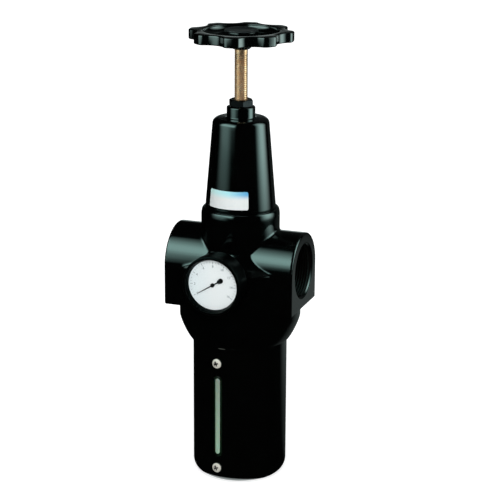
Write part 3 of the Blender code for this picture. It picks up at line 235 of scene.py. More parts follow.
# The grey lies behind and to the right. It brightens over the first half metre and dims again after it.
behind = add_node(tree, "ShaderNodeVectorMath", {"operation": "DOT_PRODUCT"}, {
    0: level.outputs["Vector"], 1: from_view(GREY_TURN)})
behind = add_node(tree, "ShaderNodeMapRange", {"interpolation_type": "SMOOTHSTEP"}, {
    "Value": behind.outputs["Value"], "From Min": 0.77, "From Max": 0.97})
near = add_node(tree, "ShaderNodeMapRange", {"interpolation_type": "SMOOTHSTEP"}, {
    "Value": far.outputs["Value"], "From Min": 0.10, "From Max": 0.55, "To Min": 0.03, "To Max": 0.115})
beyond = add_node(tree, "ShaderNodeMapRange", {"interpolation_type": "SMOOTHSTEP"}, {
    "Value": far.outputs["Value"], "From Min": 0.60, "From Max": 0.90, "To Min": 1.0, "To Max": 0.2})
grey = add_node(tree, "ShaderNodeMath", {"operation": "MULTIPLY"}, {
    0: near.outputs["Result"], 1: beyond.outputs["Result"]})
grey = add_node(tree, "ShaderNodeMath", {"operation": "MULTIPLY_ADD"}, {
    0: behind.outputs["Result"], 1: grey.outputs[0], 2: BLACK_LEVEL})

# The band stands straight behind, under a metre high, where the card is furthest from the object.
straight = add_node(tree, "ShaderNodeVectorMath", {"operation": "DOT_PRODUCT"}, {
    0: level.outputs["Vector"], 1: from_view(BAND_TURN)})
straight = add_node(tree, "ShaderNodeMapRange", {"interpolation_type": "SMOOTHSTEP"}, {
    "Value": straight.outputs["Value"], "From Min": 0.955, "From Max": 0.995, "To Max": 0.5})
height = add_node(tree, "ShaderNodeSeparateXYZ", links={"Vector": where})
low_down = add_node(tree, "ShaderNodeMapRange", {"interpolation_type": "SMOOTHSTEP"}, {
    "Value": height.outputs["Z"], "From Min": 1.0, "From Max": 0.2})
distant = add_node(tree, "ShaderNodeMapRange", {"interpolation_type": "SMOOTHSTEP"}, {
    "Value": far.outputs["Value"], "From Min": 1.2, "From Max": 2.2})
band = add_node(tree, "ShaderNodeMath", {"operation": "MULTIPLY"}, {
    0: low_down.outputs["Result"], 1: distant.outputs["Result"]})
glow = add_node(tree, "ShaderNodeMath", {"operation": "MULTIPLY_ADD"}, {
    0: straight.outputs["Result"], 1: band.outputs[0], 2: grey.outputs[0]})
glow = add_node(tree, "ShaderNodeEmission", links={"Color": linear("#EFFFFC"), "Strength": glow.outputs[0]})
add_node(tree, "ShaderNodeOutputMaterial", links={"Surface": glow.outputs[0]})

shape = half_dome(CARD_RADIUS, CARD_STEPS, CARD_ROWS)
inner, outer = ([shape.verts.new((x, y, CARD_LIFT)) for x, y in round_points(radius, CARD_STEPS)]
                for radius in (TABLE_CARD_INNER, CARD_RADIUS))
for i in range(CARD_STEPS):
    k = (i + 1) % CARD_STEPS
    shape.faces.new((inner[i], outer[i], outer[k], inner[k]))
cards = plain_object("black_cards", mesh_from("black_cards", shape), card)
hide_from(cards, "camera", "diffuse", "transmission", "volume_scatter", "shadow")

# Softboxes: one each side of the camera, close to the object, which gloss and metal mirror. Each fades to
# all its edges, so paint shows it as a band with soft borders. The fill over the camera lights matt colours.
BOX_DISTANCE = 0.40
FILL_DISTANCE = 1.9
FILL_HEIGHT = 1.3
FILL_AIM = 0.2
FILL_SIZE = 1.0
FILL_POWER = 34.0
ROOM_LEVEL = 0.35


def glow_patch(tree, spot, middle, side, edge, heart, heights):
    """A patch of glow on a sheet: it fades sideways from heart to edge, and with height as listed."""
    foot, head = heights[0][0], heights[-1][0]
    brightest = max(glow for _, glow in heights)
    across = add_node(tree, "ShaderNodeVectorMath", {"operation": "SUBTRACT"}, {0: spot, 1: middle})
    across = add_node(tree, "ShaderNodeVectorMath", {"operation": "DOT_PRODUCT"}, {
        0: across.outputs["Vector"], 1: side})
    across = add_node(tree, "ShaderNodeMath", {"operation": "ABSOLUTE"}, {0: across.outputs["Value"]})
    across = add_node(tree, "ShaderNodeMapRange", {"interpolation_type": "SMOOTHSTEP"}, {
        "Value": across.outputs[0], "From Min": edge, "From Max": heart, "To Max": brightest})
    height = add_node(tree, "ShaderNodeSeparateXYZ", links={"Vector": spot})
    height = add_node(tree, "ShaderNodeMapRange", links={
        "Value": height.outputs["Z"], "From Min": foot, "From Max": head})
    curve = add_node(tree, "ShaderNodeFloatCurve", links={"Value": height.outputs["Result"]})
    line = curve.mapping.curves[0]
    line.points[0].location = (0.0, heights[0][1] / brightest)
    line.points[1].location = (1.0, heights[-1][1] / brightest)
    for z, glow in heights[1:-1]:
        line.points.new((z - foot) / (head - foot), glow / brightest)
    curve.mapping.update()
    return add_node(tree, "ShaderNodeMath", {"operation": "MULTIPLY"}, {
        0: curve.outputs["Value"], 1: across.outputs["Result"]}).outputs[0]


def softbox(name, turn, half_width, patches, colour):
    """An upright sheet of light that faces the object. Each patch is its shift, edge, heart and heights."""
    out = from_view(turn)
    side = Vector((-out.y, out.x, 0.0))
    middle = Vector((0, AXIS_Y, 0)) + BOX_DISTANCE * out
    foot = min(heights[0][0] for *_, heights in patches)
    head = max(heights[-1][0] for *_, heights in patches)
    shape = bmesh.new()
    shape.faces.new([shape.verts.new(middle + sign * half_width * side + Vector((0, 0, z)))
                     for sign, z in ((-1, foot), (1, foot), (1, head), (-1, head))])
    made, tree = empty_material(name)
    spot = add_node(tree, "ShaderNodeTexCoord").outputs["Object"]
    total = 0.0
    for shift, edge, heart, heights in patches:
        patch = glow_patch(tree, spot, middle + shift * side, side, edge, heart, heights)
        total = add_node(tree, "ShaderNodeMath", {"operation": "ADD"}, {0: total, 1: patch}).outputs[0]
    glow = add_node(tree, "ShaderNodeEmission", links={"Color": linear(colour), "Strength": total})
    add_node(tree, "ShaderNodeOutputMaterial", links={"Surface": glow.outputs[0]})
    box = plain_object(name, mesh_from(name, shape), made)
    hide_from(box, "camera", "diffuse", "shadow")


softbox("left_softbox", -66, 0.50, (
    (0.030, 0.24, 0.03, (
        (0.185, 0.0), (0.21, 0.32), (0.233, 0.58), (0.25, 0.70), (0.27, 0.88), (0.288, 1.15),
        (0.33, 0.9), (0.37, 0.5), (0.43, 0.0))),
    (0.100, 0.34, 0.17, (
        (0.26, 0.0), (0.30, 0.25), (0.35, 1.0), (0.42, 2.5), (0.50, 3.5), (0.56, 3.5), (0.65, 2.8),
        (0.75, 1.9), (0.85, 1.2), (1.00, 0.5), (1.15, 0.0)))), "#E6FFFA")
softbox("right_softbox", 87, 0.32, (
    (-0.020, 0.235, 0.0, (
        (0.13, 0.0), (0.165, 0.5), (0.205, 1.85), (0.24, 2.7), (0.28, 3.4), (0.40, 3.5),
        (0.60, 2.5), (0.90, 0.0))),), "#EAFFFB")
lamp = bpy.data.lights.new("fill", "AREA")
lamp.shape = "SQUARE"
lamp.size = FILL_SIZE
lamp.energy = FILL_POWER
fill = bpy.data.objects.new("fill", lamp)
spot = FILL_DISTANCE * from_view(0) + Vector((0, 0, FILL_HEIGHT))
turned = (spot - Vector((0, 0, FILL_AIM))).to_track_quat("Z", "Y").to_matrix().to_4x4()
fill.matrix_world = Matrix.Translation(spot) @ turned
hide_from(fill, "camera", "glossy")
bpy.context.scene.collection.objects.link(fill)

world = bpy.data.worlds.new("soft_room")
world.use_nodes = True
room_white = {"Color": linear("#F4F6F7"), "Strength": ROOM_LEVEL}
join(world.node_tree, world.node_tree.nodes["Background"], room_white)
bpy.context.scene.world = world

# Bowl: a deep-drawn aluminium cup in gloss black enamel. It screws up into the body's skirt, and its
# foot is recessed for the drain cock. A slot through its wall takes the sight glass.
MM = 0.001
BOWL_RADIUS = 0.042
BOWL_INNER = 0.0375
BOWL_CORNER = 0.012
BOWL_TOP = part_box("bowl")[1][2]
BOWL_LIP = 0.0006
RECESS_RADIUS = 0.016
RECESS_DEPTH = 0.014
RECESS_EDGE = 0.001
DRAIN_HOLE = 0.0053
FOOT_BOSS_RADIUS = 0.0205
FOOT_BOSS_TOP = 0.019
BOWL_FLOOR = 0.0045
SIGHT_TURN = math.radians(-8.5)
SLOT_WIDTH = 0.0096
SLOT_BOTTOM = 0.0255
SLOT_LENGTH = 0.0767
INSIDE_WALL = 0.033
OUTSIDE_WALL = 0.047
SIGHT_SCREWS = (0.0151, 0.1141)
SCREW_HOLE = 0.0023
UPRIGHT = Matrix.Translation((0, AXIS_Y, 0))
BOWL_PLACE = UPRIGHT @ Matrix.Rotation(SIGHT_TURN, 4, "Z")


def surface_material(name):
    """A new material with its tree, its shader and the Object coordinates that its patterns read."""
    made = bpy.data.materials.new(name)
    made.use_nodes = True
    tree = made.node_tree
    where = add_node(tree, "ShaderNodeTexCoord").outputs["Object"]
    return made, tree, tree.nodes["Principled BSDF"], where


def mottled(name, colours, glosses, patches, relief, others):
    """A finish whose colour and gloss drift together in patches, over a fine relief. Patches are a size in
    mm, a detail and a roughness of the noise; the relief is a size in mm, a detail and a depth in mm."""
    made, tree, shader, where = surface_material(name)
    size, detail, rough = patches
    drift = add_node(tree, "ShaderNodeTexNoise", links={
        "Vector": where, "Scale": 1 / (size * MM), "Detail": detail, "Roughness": rough})
    tint = add_node(tree, "ShaderNodeMix", {"data_type": "RGBA"}, {
        "Factor": drift.outputs["Fac"], "A": linear(colours[0]), "B": linear(colours[1])})
    gloss = add_node(tree, "ShaderNodeMapRange", links={
        "Value": drift.outputs["Fac"], "From Min": 0.3, "From Max": 0.7,
        "To Min": glosses[0], "To Max": glosses[1]})
    size, detail, depth = relief
    grain = add_node(tree, "ShaderNodeTexNoise", links={
        "Vector": where, "Scale": 1 / (size * MM), "Detail": detail})
    bump = add_node(tree, "ShaderNodeBump", links={
        "Strength": 1.0, "Distance": depth * MM, "Height": grain.outputs["Fac"]})
    join(tree, shader, {
        "Base Color": tint.outputs["Result"], "Roughness": gloss.outputs["Result"],
        "Normal": bump.outputs["Normal"], **others})
    return made


def enamel(name, colour, roughness, peel_mm, peel_depth, dust, coat=1.0):
    """Gloss black stove enamel: deep black with faint orange peel, uneven gloss and a bluish-green glint."""
    return mottled(name, (colour, dust), (roughness - 0.03, roughness + 0.04), (16.7, 3.0, 0.5),
                   (peel_mm, 1.0, peel_depth),
                   {"Specular Tint": (0.48, 1.0, 0.95, 1.0), "Coat Weight": coat, "Coat Roughness": 0.05})


bowl_enamel = enamel("gloss_black_enamel_on_drawn_aluminium", "#010101", 0.12, 1.6, 0.003, "#030303")


def arc(x, y, radius, start, end, steps, flatten=1.0):
    """Points of an arc in a profile, from start to end in degrees."""
    points = []
    for i in range(steps + 1):
        a = math.radians(start + (end - start) * i / steps)
        points.append((x + radius * math.cos(a), y + radius * flatten * math.sin(a)))
    return points


def skin(name, rings, closed=False):
    """A mesh over rings of points. Rings that shrink to one point make a pole; open ends are capped."""
    shape = bmesh.new()
    rows = [[shape.verts.new(point) for point in ring] for ring in rings]
    after = rows[1:] + rows[:1] if closed else rows[1:]
    for lower, upper in zip(rows, after):
        for i in range(len(lower)):
            k = (i + 1) % len(lower)
            shape.faces.new((lower[i], lower[k], upper[k], upper[i]))
    if not closed:
        shape.faces.new(rows[0][::-1])
        shape.faces.new(rows[-1])
    bmesh.ops.remove_doubles(shape, verts=shape.verts, dist=1e-7)
    bmesh.ops.recalc_face_normals(shape, faces=shape.faces)
    return mesh_from(name, shape)


def spun(name, profile, segments, closed=False):
    """A turned shape from a profile of radius and height; a closed one is a ring with a hole."""
    return skin(name, [[(x, y, height) for x, y in round_points(radius, segments)]
                       for radius, height in profile], closed)


def evaluated(block):
    """The plain mesh that an object makes with its modifiers; the object is then removed."""
    bpy.context.scene.collection.objects.link(block)
    done = bpy.data.meshes.new_from_object(block.evaluated_get(bpy.context.evaluated_depsgraph_get()))
    bpy.data.objects.remove(block, do_unlink=True)
    return done


def cut(mesh, tools, operation="DIFFERENCE"):
    """The mesh after each tool mesh is cut out of it or joined on, all in one frame."""
    block = bpy.data.objects.new("work", mesh)
    helpers = []
    for tool in tools:
        helper = bpy.data.objects.new("tool", tool)
        bpy.context.scene.collection.objects.link(helper)
        helpers.append(helper)
        step = block.modifiers.new("step", "BOOLEAN")
        step.operation = operation
        step.solver = "EXACT"
        step.object = helper
    done = evaluated(block)
    for helper in helpers:
        bpy.data.objects.remove(helper, do_unlink=True)
    return done


def finished(name, mesh, finish, place=None, sharp=35):
    """A piece whose mesh is welded, put in its place and shaded smooth up to the sharp angle."""
    shape = bmesh.new()
    shape.from_mesh(mesh)
    bmesh.ops.remove_doubles(shape, verts=shape.verts, dist=2e-7)
    bmesh.ops.dissolve_degenerate(shape, edges=shape.edges, dist=1e-7)
    shape.to_mesh(mesh)
    shape.free()
    if place is not None:
        mesh.transform(place)
    mesh.shade_smooth()
    mesh.set_sharp_from_angle(angle=math.radians(sharp))
    return plain_object(name, mesh, finish)


def bar_round_ends(name, width, bottom, length, near, far, steps=16):
    """An upright bar with round ends, running outwards along -Y from near to far."""
    radius = width / 2
    outline = arc(0, bottom + radius, radius, 180, 360, steps)
    outline += arc(0, bottom + length - radius, radius, 0, 180, steps)
    return skin(name, [[(x, -distance, z) for x, z in outline] for distance in (near, far)])


def pin(name, start, end, radius, segments=32):
    """A round tool between two points."""
    along = Vector(end) - Vector(start)
    mesh = spun(name, [(radius, 0.0), (radius, along.length)], segments)
    mesh.transform(Matrix.Translation(start) @ along.to_track_quat("Z", "Y").to_matrix().to_4x4())
    return mesh


profile = [(DRAIN_HOLE, RECESS_DEPTH)]
profile += arc(RECESS_RADIUS - RECESS_EDGE, RECESS_DEPTH - RECESS_EDGE, RECESS_EDGE, 90, 0, 4)
profile += arc(RECESS_RADIUS + RECESS_EDGE, RECESS_EDGE, RECESS_EDGE, 180, 270, 4)
profile += arc(BOWL_RADIUS - BOWL_CORNER, BOWL_CORNER, BOWL_CORNER, -90, 0, 20)
profile += arc(BOWL_RADIUS - BOWL_LIP, BOWL_TOP - BOWL_LIP, BOWL_LIP, 0, 90, 3)
profile += arc(BOWL_INNER + BOWL_LIP, BOWL_TOP - BOWL_LIP, BOWL_LIP, 90, 180, 3)
profile += arc(BOWL_RADIUS - BOWL_CORNER, BOWL_CORNER, BOWL_INNER - BOWL_RADIUS + BOWL_CORNER, 0, -90, 12)
profile += [(FOOT_BOSS_RADIUS, BOWL_FLOOR), (FOOT_BOSS_RADIUS, FOOT_BOSS_TOP), (DRAIN_HOLE, FOOT_BOSS_TOP)]
shell = spun("bowl_shell", profile, 160, closed=True)
tools = [bar_round_ends("slot", SLOT_WIDTH, SLOT_BOTTOM, SLOT_LENGTH, INSIDE_WALL, OUTSIDE_WALL)]
for height in SIGHT_SCREWS:
    tools.append(pin("hole", (0, -INSIDE_WALL, height), (0, -OUTSIDE_WALL, height), SCREW_HOLE))
bowl = finished("bowl_shell", cut(shell, tools), bowl_enamel, BOWL_PLACE)
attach(bowl, "bowl")
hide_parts("bowl")

# Sight glass: a moulded bar of clear polycarbonate in the slot, dark bottle-green where one looks through
# its sides, with a pale frosted window down its middle. A gasket and a steel clamp hold it from inside.
LENS_WIDTH = 0.009
LENS_BOTTOM = 0.0258
LENS_LENGTH = 0.0761
LENS_BACK = 0.0344
LENS_FRONT = 0.0412
LENS_CROWN = 0.0009
FROST_WIDTH = 0.0047
FROST_BOTTOM = 0.028
FROST_LENGTH = 0.0717
FROST_BACK = 0.040
FROST_FRONT = 0.04155
FROST_CROWN = 0.00045


def crowned_bar(name, width, bottom, length, inner, outer, crown, across=12):
    """A round-ended upright bar on the bowl's wall; its front is crowned and its edges are rounded."""
    radius = width / 2
    low_end = arc(0, bottom + radius, radius, -88, 0, 10)
    high_end = arc(0, bottom + length - radius, radius, 0, 88, 10)
    rings = []
    for half, z in low_end + high_end:
        near_end = min(z - bottom, bottom + length - z)
        ring = []
        for i in range(across + 1):
            side = 2 * i / across - 1
            fall = crown * (side ** 4 + max(0.0, 1 - near_end / radius) ** 4)
            distance = outer - min(fall, crown)
            angle = side * half / outer
            ring.append((distance * math.sin(angle), -distance * math.cos(angle), z))
        for i in range(across + 1):
            angle = (1 - 2 * i / across) * half / outer
            ring.append((inner * math.sin(angle), -inner * math.cos(angle), z))
        rings.append(ring)
    return skin(name, rings)


# Moulded polycarbonate: near black from outside, with a green cast and a gloss that age has hazed.
lens_glass, tree, shader, where = surface_material("moulded_polycarbonate_bottle_green")
haze = add_node(tree, "ShaderNodeTexNoise", links={"Vector": where, "Scale": 1 / (7.14 * MM), "Detail": 4.0})
tint = add_node(tree, "ShaderNodeMix", {"data_type": "RGBA"}, {
    "Factor": haze.outputs["Fac"], "A": linear("#0A150C"), "B": linear("#16281A")})
gloss = add_node(tree, "ShaderNodeMapRange", links={
    "Value": haze.outputs["Fac"], "To Min": 0.06, "To Max": 0.16})
join(tree, shader, {
    "Base Color": tint.outputs["Result"], "Roughness": gloss.outputs["Result"], "IOR": 1.58,
    "Coat Weight": 0.4})
lens = crowned_bar("sight_glass_bar", LENS_WIDTH, LENS_BOTTOM, LENS_LENGTH, LENS_BACK, LENS_FRONT, LENS_CROWN)
lens = finished("sight_glass_bar", lens, lens_glass, BOWL_PLACE)
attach(lens, "bowl")
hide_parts("sight_lens")

# Frosted window: milky green that greys towards the top, cloudy in spots and soft as light spreads in it.
window_frost, tree, shader, where = surface_material("frosted_polycarbonate_window")
fall = add_node(tree, "ShaderNodeSeparateXYZ", links={"Vector": where})
level = add_node(tree, "ShaderNodeMapRange", links={
    "Value": fall.outputs["Z"], "From Min": FROST_BOTTOM, "From Max": FROST_BOTTOM + FROST_LENGTH})
milk = add_node(tree, "ShaderNodeTexNoise", links={"Vector": where, "Scale": 1 / (4.55 * MM), "Detail": 5.0})
tint = add_node(tree, "ShaderNodeMix", {"data_type": "RGBA"}, {
    "Factor": level.outputs["Result"], "A": linear("#A9C9AF"), "B": linear("#93A596")})
cloud = add_node(tree, "ShaderNodeMix", {"data_type": "RGBA", "blend_type": "MULTIPLY"}, {
    "Factor": 0.25, "A": tint.outputs["Result"], "B": milk.outputs["Color"]})
join(tree, shader, {
    "Base Color": cloud.outputs["Result"], "Roughness": 0.3, "Subsurface Weight": 0.2,
    "Subsurface Scale": 1.5 * MM})
window = crowned_bar("sight_window", FROST_WIDTH, FROST_BOTTOM, FROST_LENGTH, FROST_BACK, FROST_FRONT,
                     FROST_CROWN)
window = finished("sight_window", window, window_frost, BOWL_PLACE)
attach(window, "bowl")

# Sight screws: two nickel-plated steel screws with domed heads and a cross recess, which draw the clamp up
# behind the wall. One screw is made, and Geometry Nodes set it at each end of the glass.
HEAD_RADIUS = 0.0043
HEAD_HEIGHT = 0.002
HEAD_SEAT = 0.0003
HEAD_EDGE = 0.0002
DOME_FOOT = 0.0009
DOME_RISE = HEAD_HEIGHT - 0.0006
DOME_LOW = 0.00195
SHANK_RADIUS = 0.002
SHANK_LENGTH = 0.0077
RECESS_ARM = 0.0025
RECESS_TAPER = 0.45
RECESS_WIDTH = 0.0014
RECESS_MOUTH = 0.00235
RECESS_FLOOR = 0.0004
RECESS_TURN = 20
low_screw, high_screw = SIGHT_SCREWS


def set_input(modifier, tree, name, value):
    """Sets a modifier's input by its socket's identifier."""
    for item in tree.interface.items_tree:
        if item.name == name and item.in_out == "INPUT":
            modifier[item.identifier] = value


def node_tree(name, inputs):
    """A geometry tree with named inputs; returns the tree, its input node's sockets and its output node."""
    tree = bpy.data.node_groups.new(name, "GeometryNodeTree")
    kinds = {float: "NodeSocketFloat", int: "NodeSocketInt", bpy.types.Object: "NodeSocketObject",
             bpy.types.Material: "NodeSocketMaterial"}
    for label, kind in inputs.items():
        tree.interface.new_socket(name=label, in_out="INPUT", socket_type=kinds[kind])
    tree.interface.new_socket(name="Geometry", in_out="OUTPUT", socket_type="NodeSocketGeometry")
    source = tree.nodes.new("NodeGroupInput")
    result = tree.nodes.new("NodeGroupOutput")
    return tree, source.outputs, result


def grown(name, tree, values):
    """The plain mesh that a geometry tree makes with these values."""
    block = bpy.data.objects.new(name, bpy.data.meshes.new(name))
    step = block.modifiers.new("grow", "NODES")
    step.node_group = tree
    for label, value in values.items():
        set_input(step, tree, label, value)
    return evaluated(block)


def end_tree(tree, geometry, finish, result):
    """Closes a tree with Realize Instances and Set Material."""
    real = add_node(tree, "GeometryNodeRealizeInstances", links={"Geometry": geometry})
    painted = add_node(tree, "GeometryNodeSetMaterial", links={
        "Geometry": real.outputs["Geometry"], "Material": finish})
    join(tree, result, {"Geometry": painted.outputs["Geometry"]})


def plated(name, dark, light, roughness, wear_mm, bump_depth, metallic=1.0):
    """Plated steel: bright metal whose gloss changes in small patches. Its rolled or turned grain is finer
    than the picture can show, so it is drawn at 0.4 mm."""
    return mottled(name, (dark, light), (roughness + 0.06, roughness - 0.05), (wear_mm, 5.0, 0.6),
                   (0.4, 2.0, bump_depth), {"Metallic": metallic})


# Nickel plate that has dulled to pale cream. The bottom of the cross recess is painted near black as shade.
nickel = plated("nickel_plated_steel_screw", "#DEDBCC", "#FAF7EC", 0.45, 1.5, 0.002, 0.3)
tree = nickel.node_tree
shader = tree.nodes["Principled BSDF"]
where = add_node(tree, "ShaderNodeTexCoord").outputs["Object"]
centred = add_node(tree, "ShaderNodeVectorMath", {"operation": "SUBTRACT"}, {
    0: where, 1: BOWL_PLACE @ Vector((0, -BOWL_RADIUS, (low_screw + high_screw) / 2))})
spot = add_node(tree, "ShaderNodeSeparateXYZ", links={"Vector": centred.outputs["Vector"]})
apart = add_node(tree, "ShaderNodeMath", {"operation": "ABSOLUTE"}, {0: spot.outputs["Z"]})
apart = add_node(tree, "ShaderNodeMath", {"operation": "SUBTRACT"}, {
    0: apart.outputs[0], 1: (high_screw - low_screw) / 2})
away = add_node(tree, "ShaderNodeCombineXYZ", links={"X": spot.outputs["X"], "Y": apart.outputs[0]})
away = add_node(tree, "ShaderNodeVectorMath", {"operation": "LENGTH"}, {0: away.outputs["Vector"]})
# Painted shade: inside the recess's arms and below the dome, the colour turns near black.
inside = add_node(tree, "ShaderNodeMath", {"operation": "LESS_THAN"}, {
    0: away.outputs["Value"], 1: RECESS_ARM + 0.0001})
deep = add_node(tree, "ShaderNodeMath", {"operation": "GREATER_THAN"}, {0: spot.outputs["Y"], 1: -DOME_LOW})
painted_recess_shade = add_node(tree, "ShaderNodeMath", {"operation": "MULTIPLY"}, {
    0: inside.outputs[0], 1: deep.outputs[0]})
unshaded_colour = shader.inputs["Base Color"].links[0].from_socket
tint = add_node(tree, "ShaderNodeMix", {"data_type": "RGBA"}, {
    "Factor": painted_recess_shade.outputs[0], "A": unshaded_colour, "B": linear("#171613")})
join(tree, shader, {"Base Color": tint.outputs["Result"]})

profile = [(0.0, -SHANK_LENGTH), (SHANK_RADIUS, -SHANK_LENGTH), (SHANK_RADIUS, HEAD_SEAT)]
profile += [(HEAD_RADIUS - HEAD_EDGE, HEAD_SEAT)]
profile += arc(HEAD_RADIUS - HEAD_EDGE, HEAD_SEAT + HEAD_EDGE, HEAD_EDGE, -90, 0, 3)
profile += arc(0, DOME_FOOT, HEAD_RADIUS, 2, 88, 14, DOME_RISE / HEAD_RADIUS)
profile.append((0.0, HEAD_HEIGHT + HEAD_SEAT))
head = spun("head", profile, 48)
tools = []
for turn in (0.0, 90.0):
    floor_arm = RECESS_ARM * RECESS_TAPER
    section = [(-RECESS_ARM, RECESS_MOUTH), (RECESS_ARM, RECESS_MOUTH),
               (floor_arm, RECESS_FLOOR), (-floor_arm, RECESS_FLOOR)]
    wedge = skin("wedge", [[(x, side * RECESS_WIDTH / 2, z) for x, z in section] for side in (-1, 1)])
    wedge.transform(Matrix.Rotation(math.radians(turn + RECESS_TURN), 4, "Z"))
    tools.append(wedge)
pattern_screw = finished("sight_screw_pattern", cut(head, tools), nickel, None, 30)

tree, given, result = node_tree("screws_in_a_row", {
    "Screw": bpy.types.Object, "Count": int, "Spacing": float, "Finish": bpy.types.Material})
row = add_node(tree, "GeometryNodeMeshLine", {"mode": "OFFSET"}, {"Count": given["Count"]})
offset = add_node(tree, "ShaderNodeCombineXYZ", links={"Y": given["Spacing"]})
join(tree, row, {"Offset": offset.outputs["Vector"]})
pattern = add_node(tree, "GeometryNodeObjectInfo", links={"Object": given["Screw"]})
screws = add_node(tree, "GeometryNodeInstanceOnPoints", links={
    "Points": row.outputs["Mesh"], "Instance": pattern.outputs["Geometry"]})
end_tree(tree, screws.outputs["Instances"], given["Finish"], result)
heads = grown("sight_screws", tree, {
    "Screw": pattern_screw, "Count": 2, "Spacing": high_screw - low_screw, "Finish": nickel})
bpy.data.objects.remove(pattern_screw, do_unlink=True)
facing = BOWL_PLACE @ Matrix.Translation((0, -BOWL_RADIUS, low_screw)) @ Matrix.Rotation(math.pi / 2, 4, "X")
heads = finished("sight_screw_heads", heads, nickel, facing, 30)
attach(heads, "bowl")
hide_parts("sight_screw_lower", "sight_screw_upper")

# Drain cock: a brass body through the foot, held by a nut inside, with a fluted nylon knob below. The
# flutes are cut from a blank at places that Geometry Nodes set round a circle.
KNOB_RADIUS = 0.008
KNOB_EDGE = 0.001
PEG_RADIUS = 0.002
KNOB_GAP = 0.0003
FLUTES = 6
FLUTE_RADIUS = 0.0012
FLUTE_LENGTH = 0.02
low, high = corners_of("drain_knob")
knob_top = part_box("drain_body")[0][2] - KNOB_GAP


def moulded(name, colour, light, roughness, grain_mm, grain_depth):
    """Moulded plastic: even dark colour, a soft sheen and the mould's spark-eroded grain, which is drawn
    coarser than the real one so that it shows."""
    return mottled(name, (colour, light), (roughness - 0.03, roughness + 0.05), (22.2, 2.0, 0.5),
                   (grain_mm, 3.0, grain_depth), {})


knob_nylon = moulded("moulded_black_nylon", "#08090A", "#121314", 0.34, 0.5, 0.006)
profile = [(0.0, low.z)] + arc(KNOB_RADIUS - KNOB_EDGE, low.z + KNOB_EDGE, KNOB_EDGE, -90, 0, 4)
profile += arc(KNOB_RADIUS - KNOB_EDGE, knob_top - KNOB_EDGE, KNOB_EDGE, 0, 90, 4)
profile += [(PEG_RADIUS, knob_top), (PEG_RADIUS, high.z), (0.0, high.z)]
blank = spun("drain_knob_fluted", profile, 72)

tree, given, result = node_tree("posts_round_a_circle", {
    "Count": int, "Circle": float, "Post": float, "Height": float, "Finish": bpy.types.Material})
ring = add_node(tree, "GeometryNodeMeshCircle", links={"Vertices": given["Count"], "Radius": given["Circle"]})
post = add_node(tree, "GeometryNodeMeshCylinder", links={
    "Vertices": 16, "Radius": given["Post"], "Depth": given["Height"]})
posts = add_node(tree, "GeometryNodeInstanceOnPoints", links={
    "Points": ring.outputs["Mesh"], "Instance": post.outputs["Mesh"]})
end_tree(tree, posts.outputs["Instances"], given["Finish"], result)
flutes = grown("flutes", tree, {
    "Count": FLUTES, "Circle": KNOB_RADIUS, "Post": FLUTE_RADIUS, "Height": FLUTE_LENGTH,
    "Finish": knob_nylon})
flutes.transform(Matrix.Translation((0, 0, low.z)) @ Matrix.Rotation(math.pi / FLUTES, 4, "Z"))
knob = finished("drain_knob_fluted", cut(blank, [flutes]), knob_nylon, BOWL_PLACE)
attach(knob, "drain")
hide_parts("drain_knob")


def brass_finish(name, dark, light, roughness, tool_mm, metallic=1.0):
    """Free-cutting brass: warm metal, browner where it has tarnished. The tool's rings are drawn wider
    than real ones, so that they show."""
    made, tree, shader, where = surface_material(name)
    tarnish = add_node(tree, "ShaderNodeTexNoise", links={
        "Vector": where, "Scale": 1 / (5.56 * MM), "Detail": 6.0})
    spread = add_node(tree, "ShaderNodeMapRange", links={
        "Value": tarnish.outputs["Fac"], "From Min": 0.35, "From Max": 0.7})
    tint = add_node(tree, "ShaderNodeMix", {"data_type": "RGBA"}, {
        "Factor": spread.outputs["Result"], "A": linear(light), "B": linear(dark)})
    gloss = add_node(tree, "ShaderNodeMapRange", links={
        "Value": spread.outputs["Result"], "To Min": roughness - 0.04, "To Max": roughness + 0.1})
    height = add_node(tree, "ShaderNodeSeparateXYZ", links={"Vector": where})
    rings = add_node(tree, "ShaderNodeMath", {"operation": "MULTIPLY"},
                     {0: height.outputs["Z"], 1: math.tau / (tool_mm * MM)})
    rings = add_node(tree, "ShaderNodeMath", {"operation": "SINE"}, {0: rings.outputs[0]})
    bump = add_node(tree, "ShaderNodeBump", links={
        "Strength": 0.4, "Distance": 0.003 * MM, "Height": rings.outputs[0]})
    join(tree, shader, {
        "Base Color": tint.outputs["Result"], "Roughness": gloss.outputs["Result"],
        "Normal": bump.outputs["Normal"], "Metallic": metallic})
    return made


def dress(finish, *names):
    """Gives CAD nodes a finish in their own material slots."""
    for name in names:
        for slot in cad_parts[name].material_slots:
            slot.material = finish


turned_brass = brass_finish("turned_brass", "#A98250", "#DDBD86", 0.28, 0.25)
bright_zinc = plated("zinc_plated_steel", "#8F9092", "#C9CACB", 0.34, 2.0, 0.002)
seal_rubber = moulded("moulded_nitrile_rubber", "#0B0B0B", "#171717", 0.62, 0.4, 0.008)
dress(turned_brass, "drain_body")
dress(bright_zinc, "drain_nut", "sight_clamp")
dress(seal_rubber, "sight_gasket", "bowl_seal")

# Filter: a moulded swirl deflector, a sintered white plastic element under it, and a nylon baffle that a
# steel stud and nut draw up against both. All of it is inside the bowl.
grey_nylon = moulded("moulded_grey_nylon", "#3C3E40", "#4A4C4E", 0.45, 0.5, 0.006)
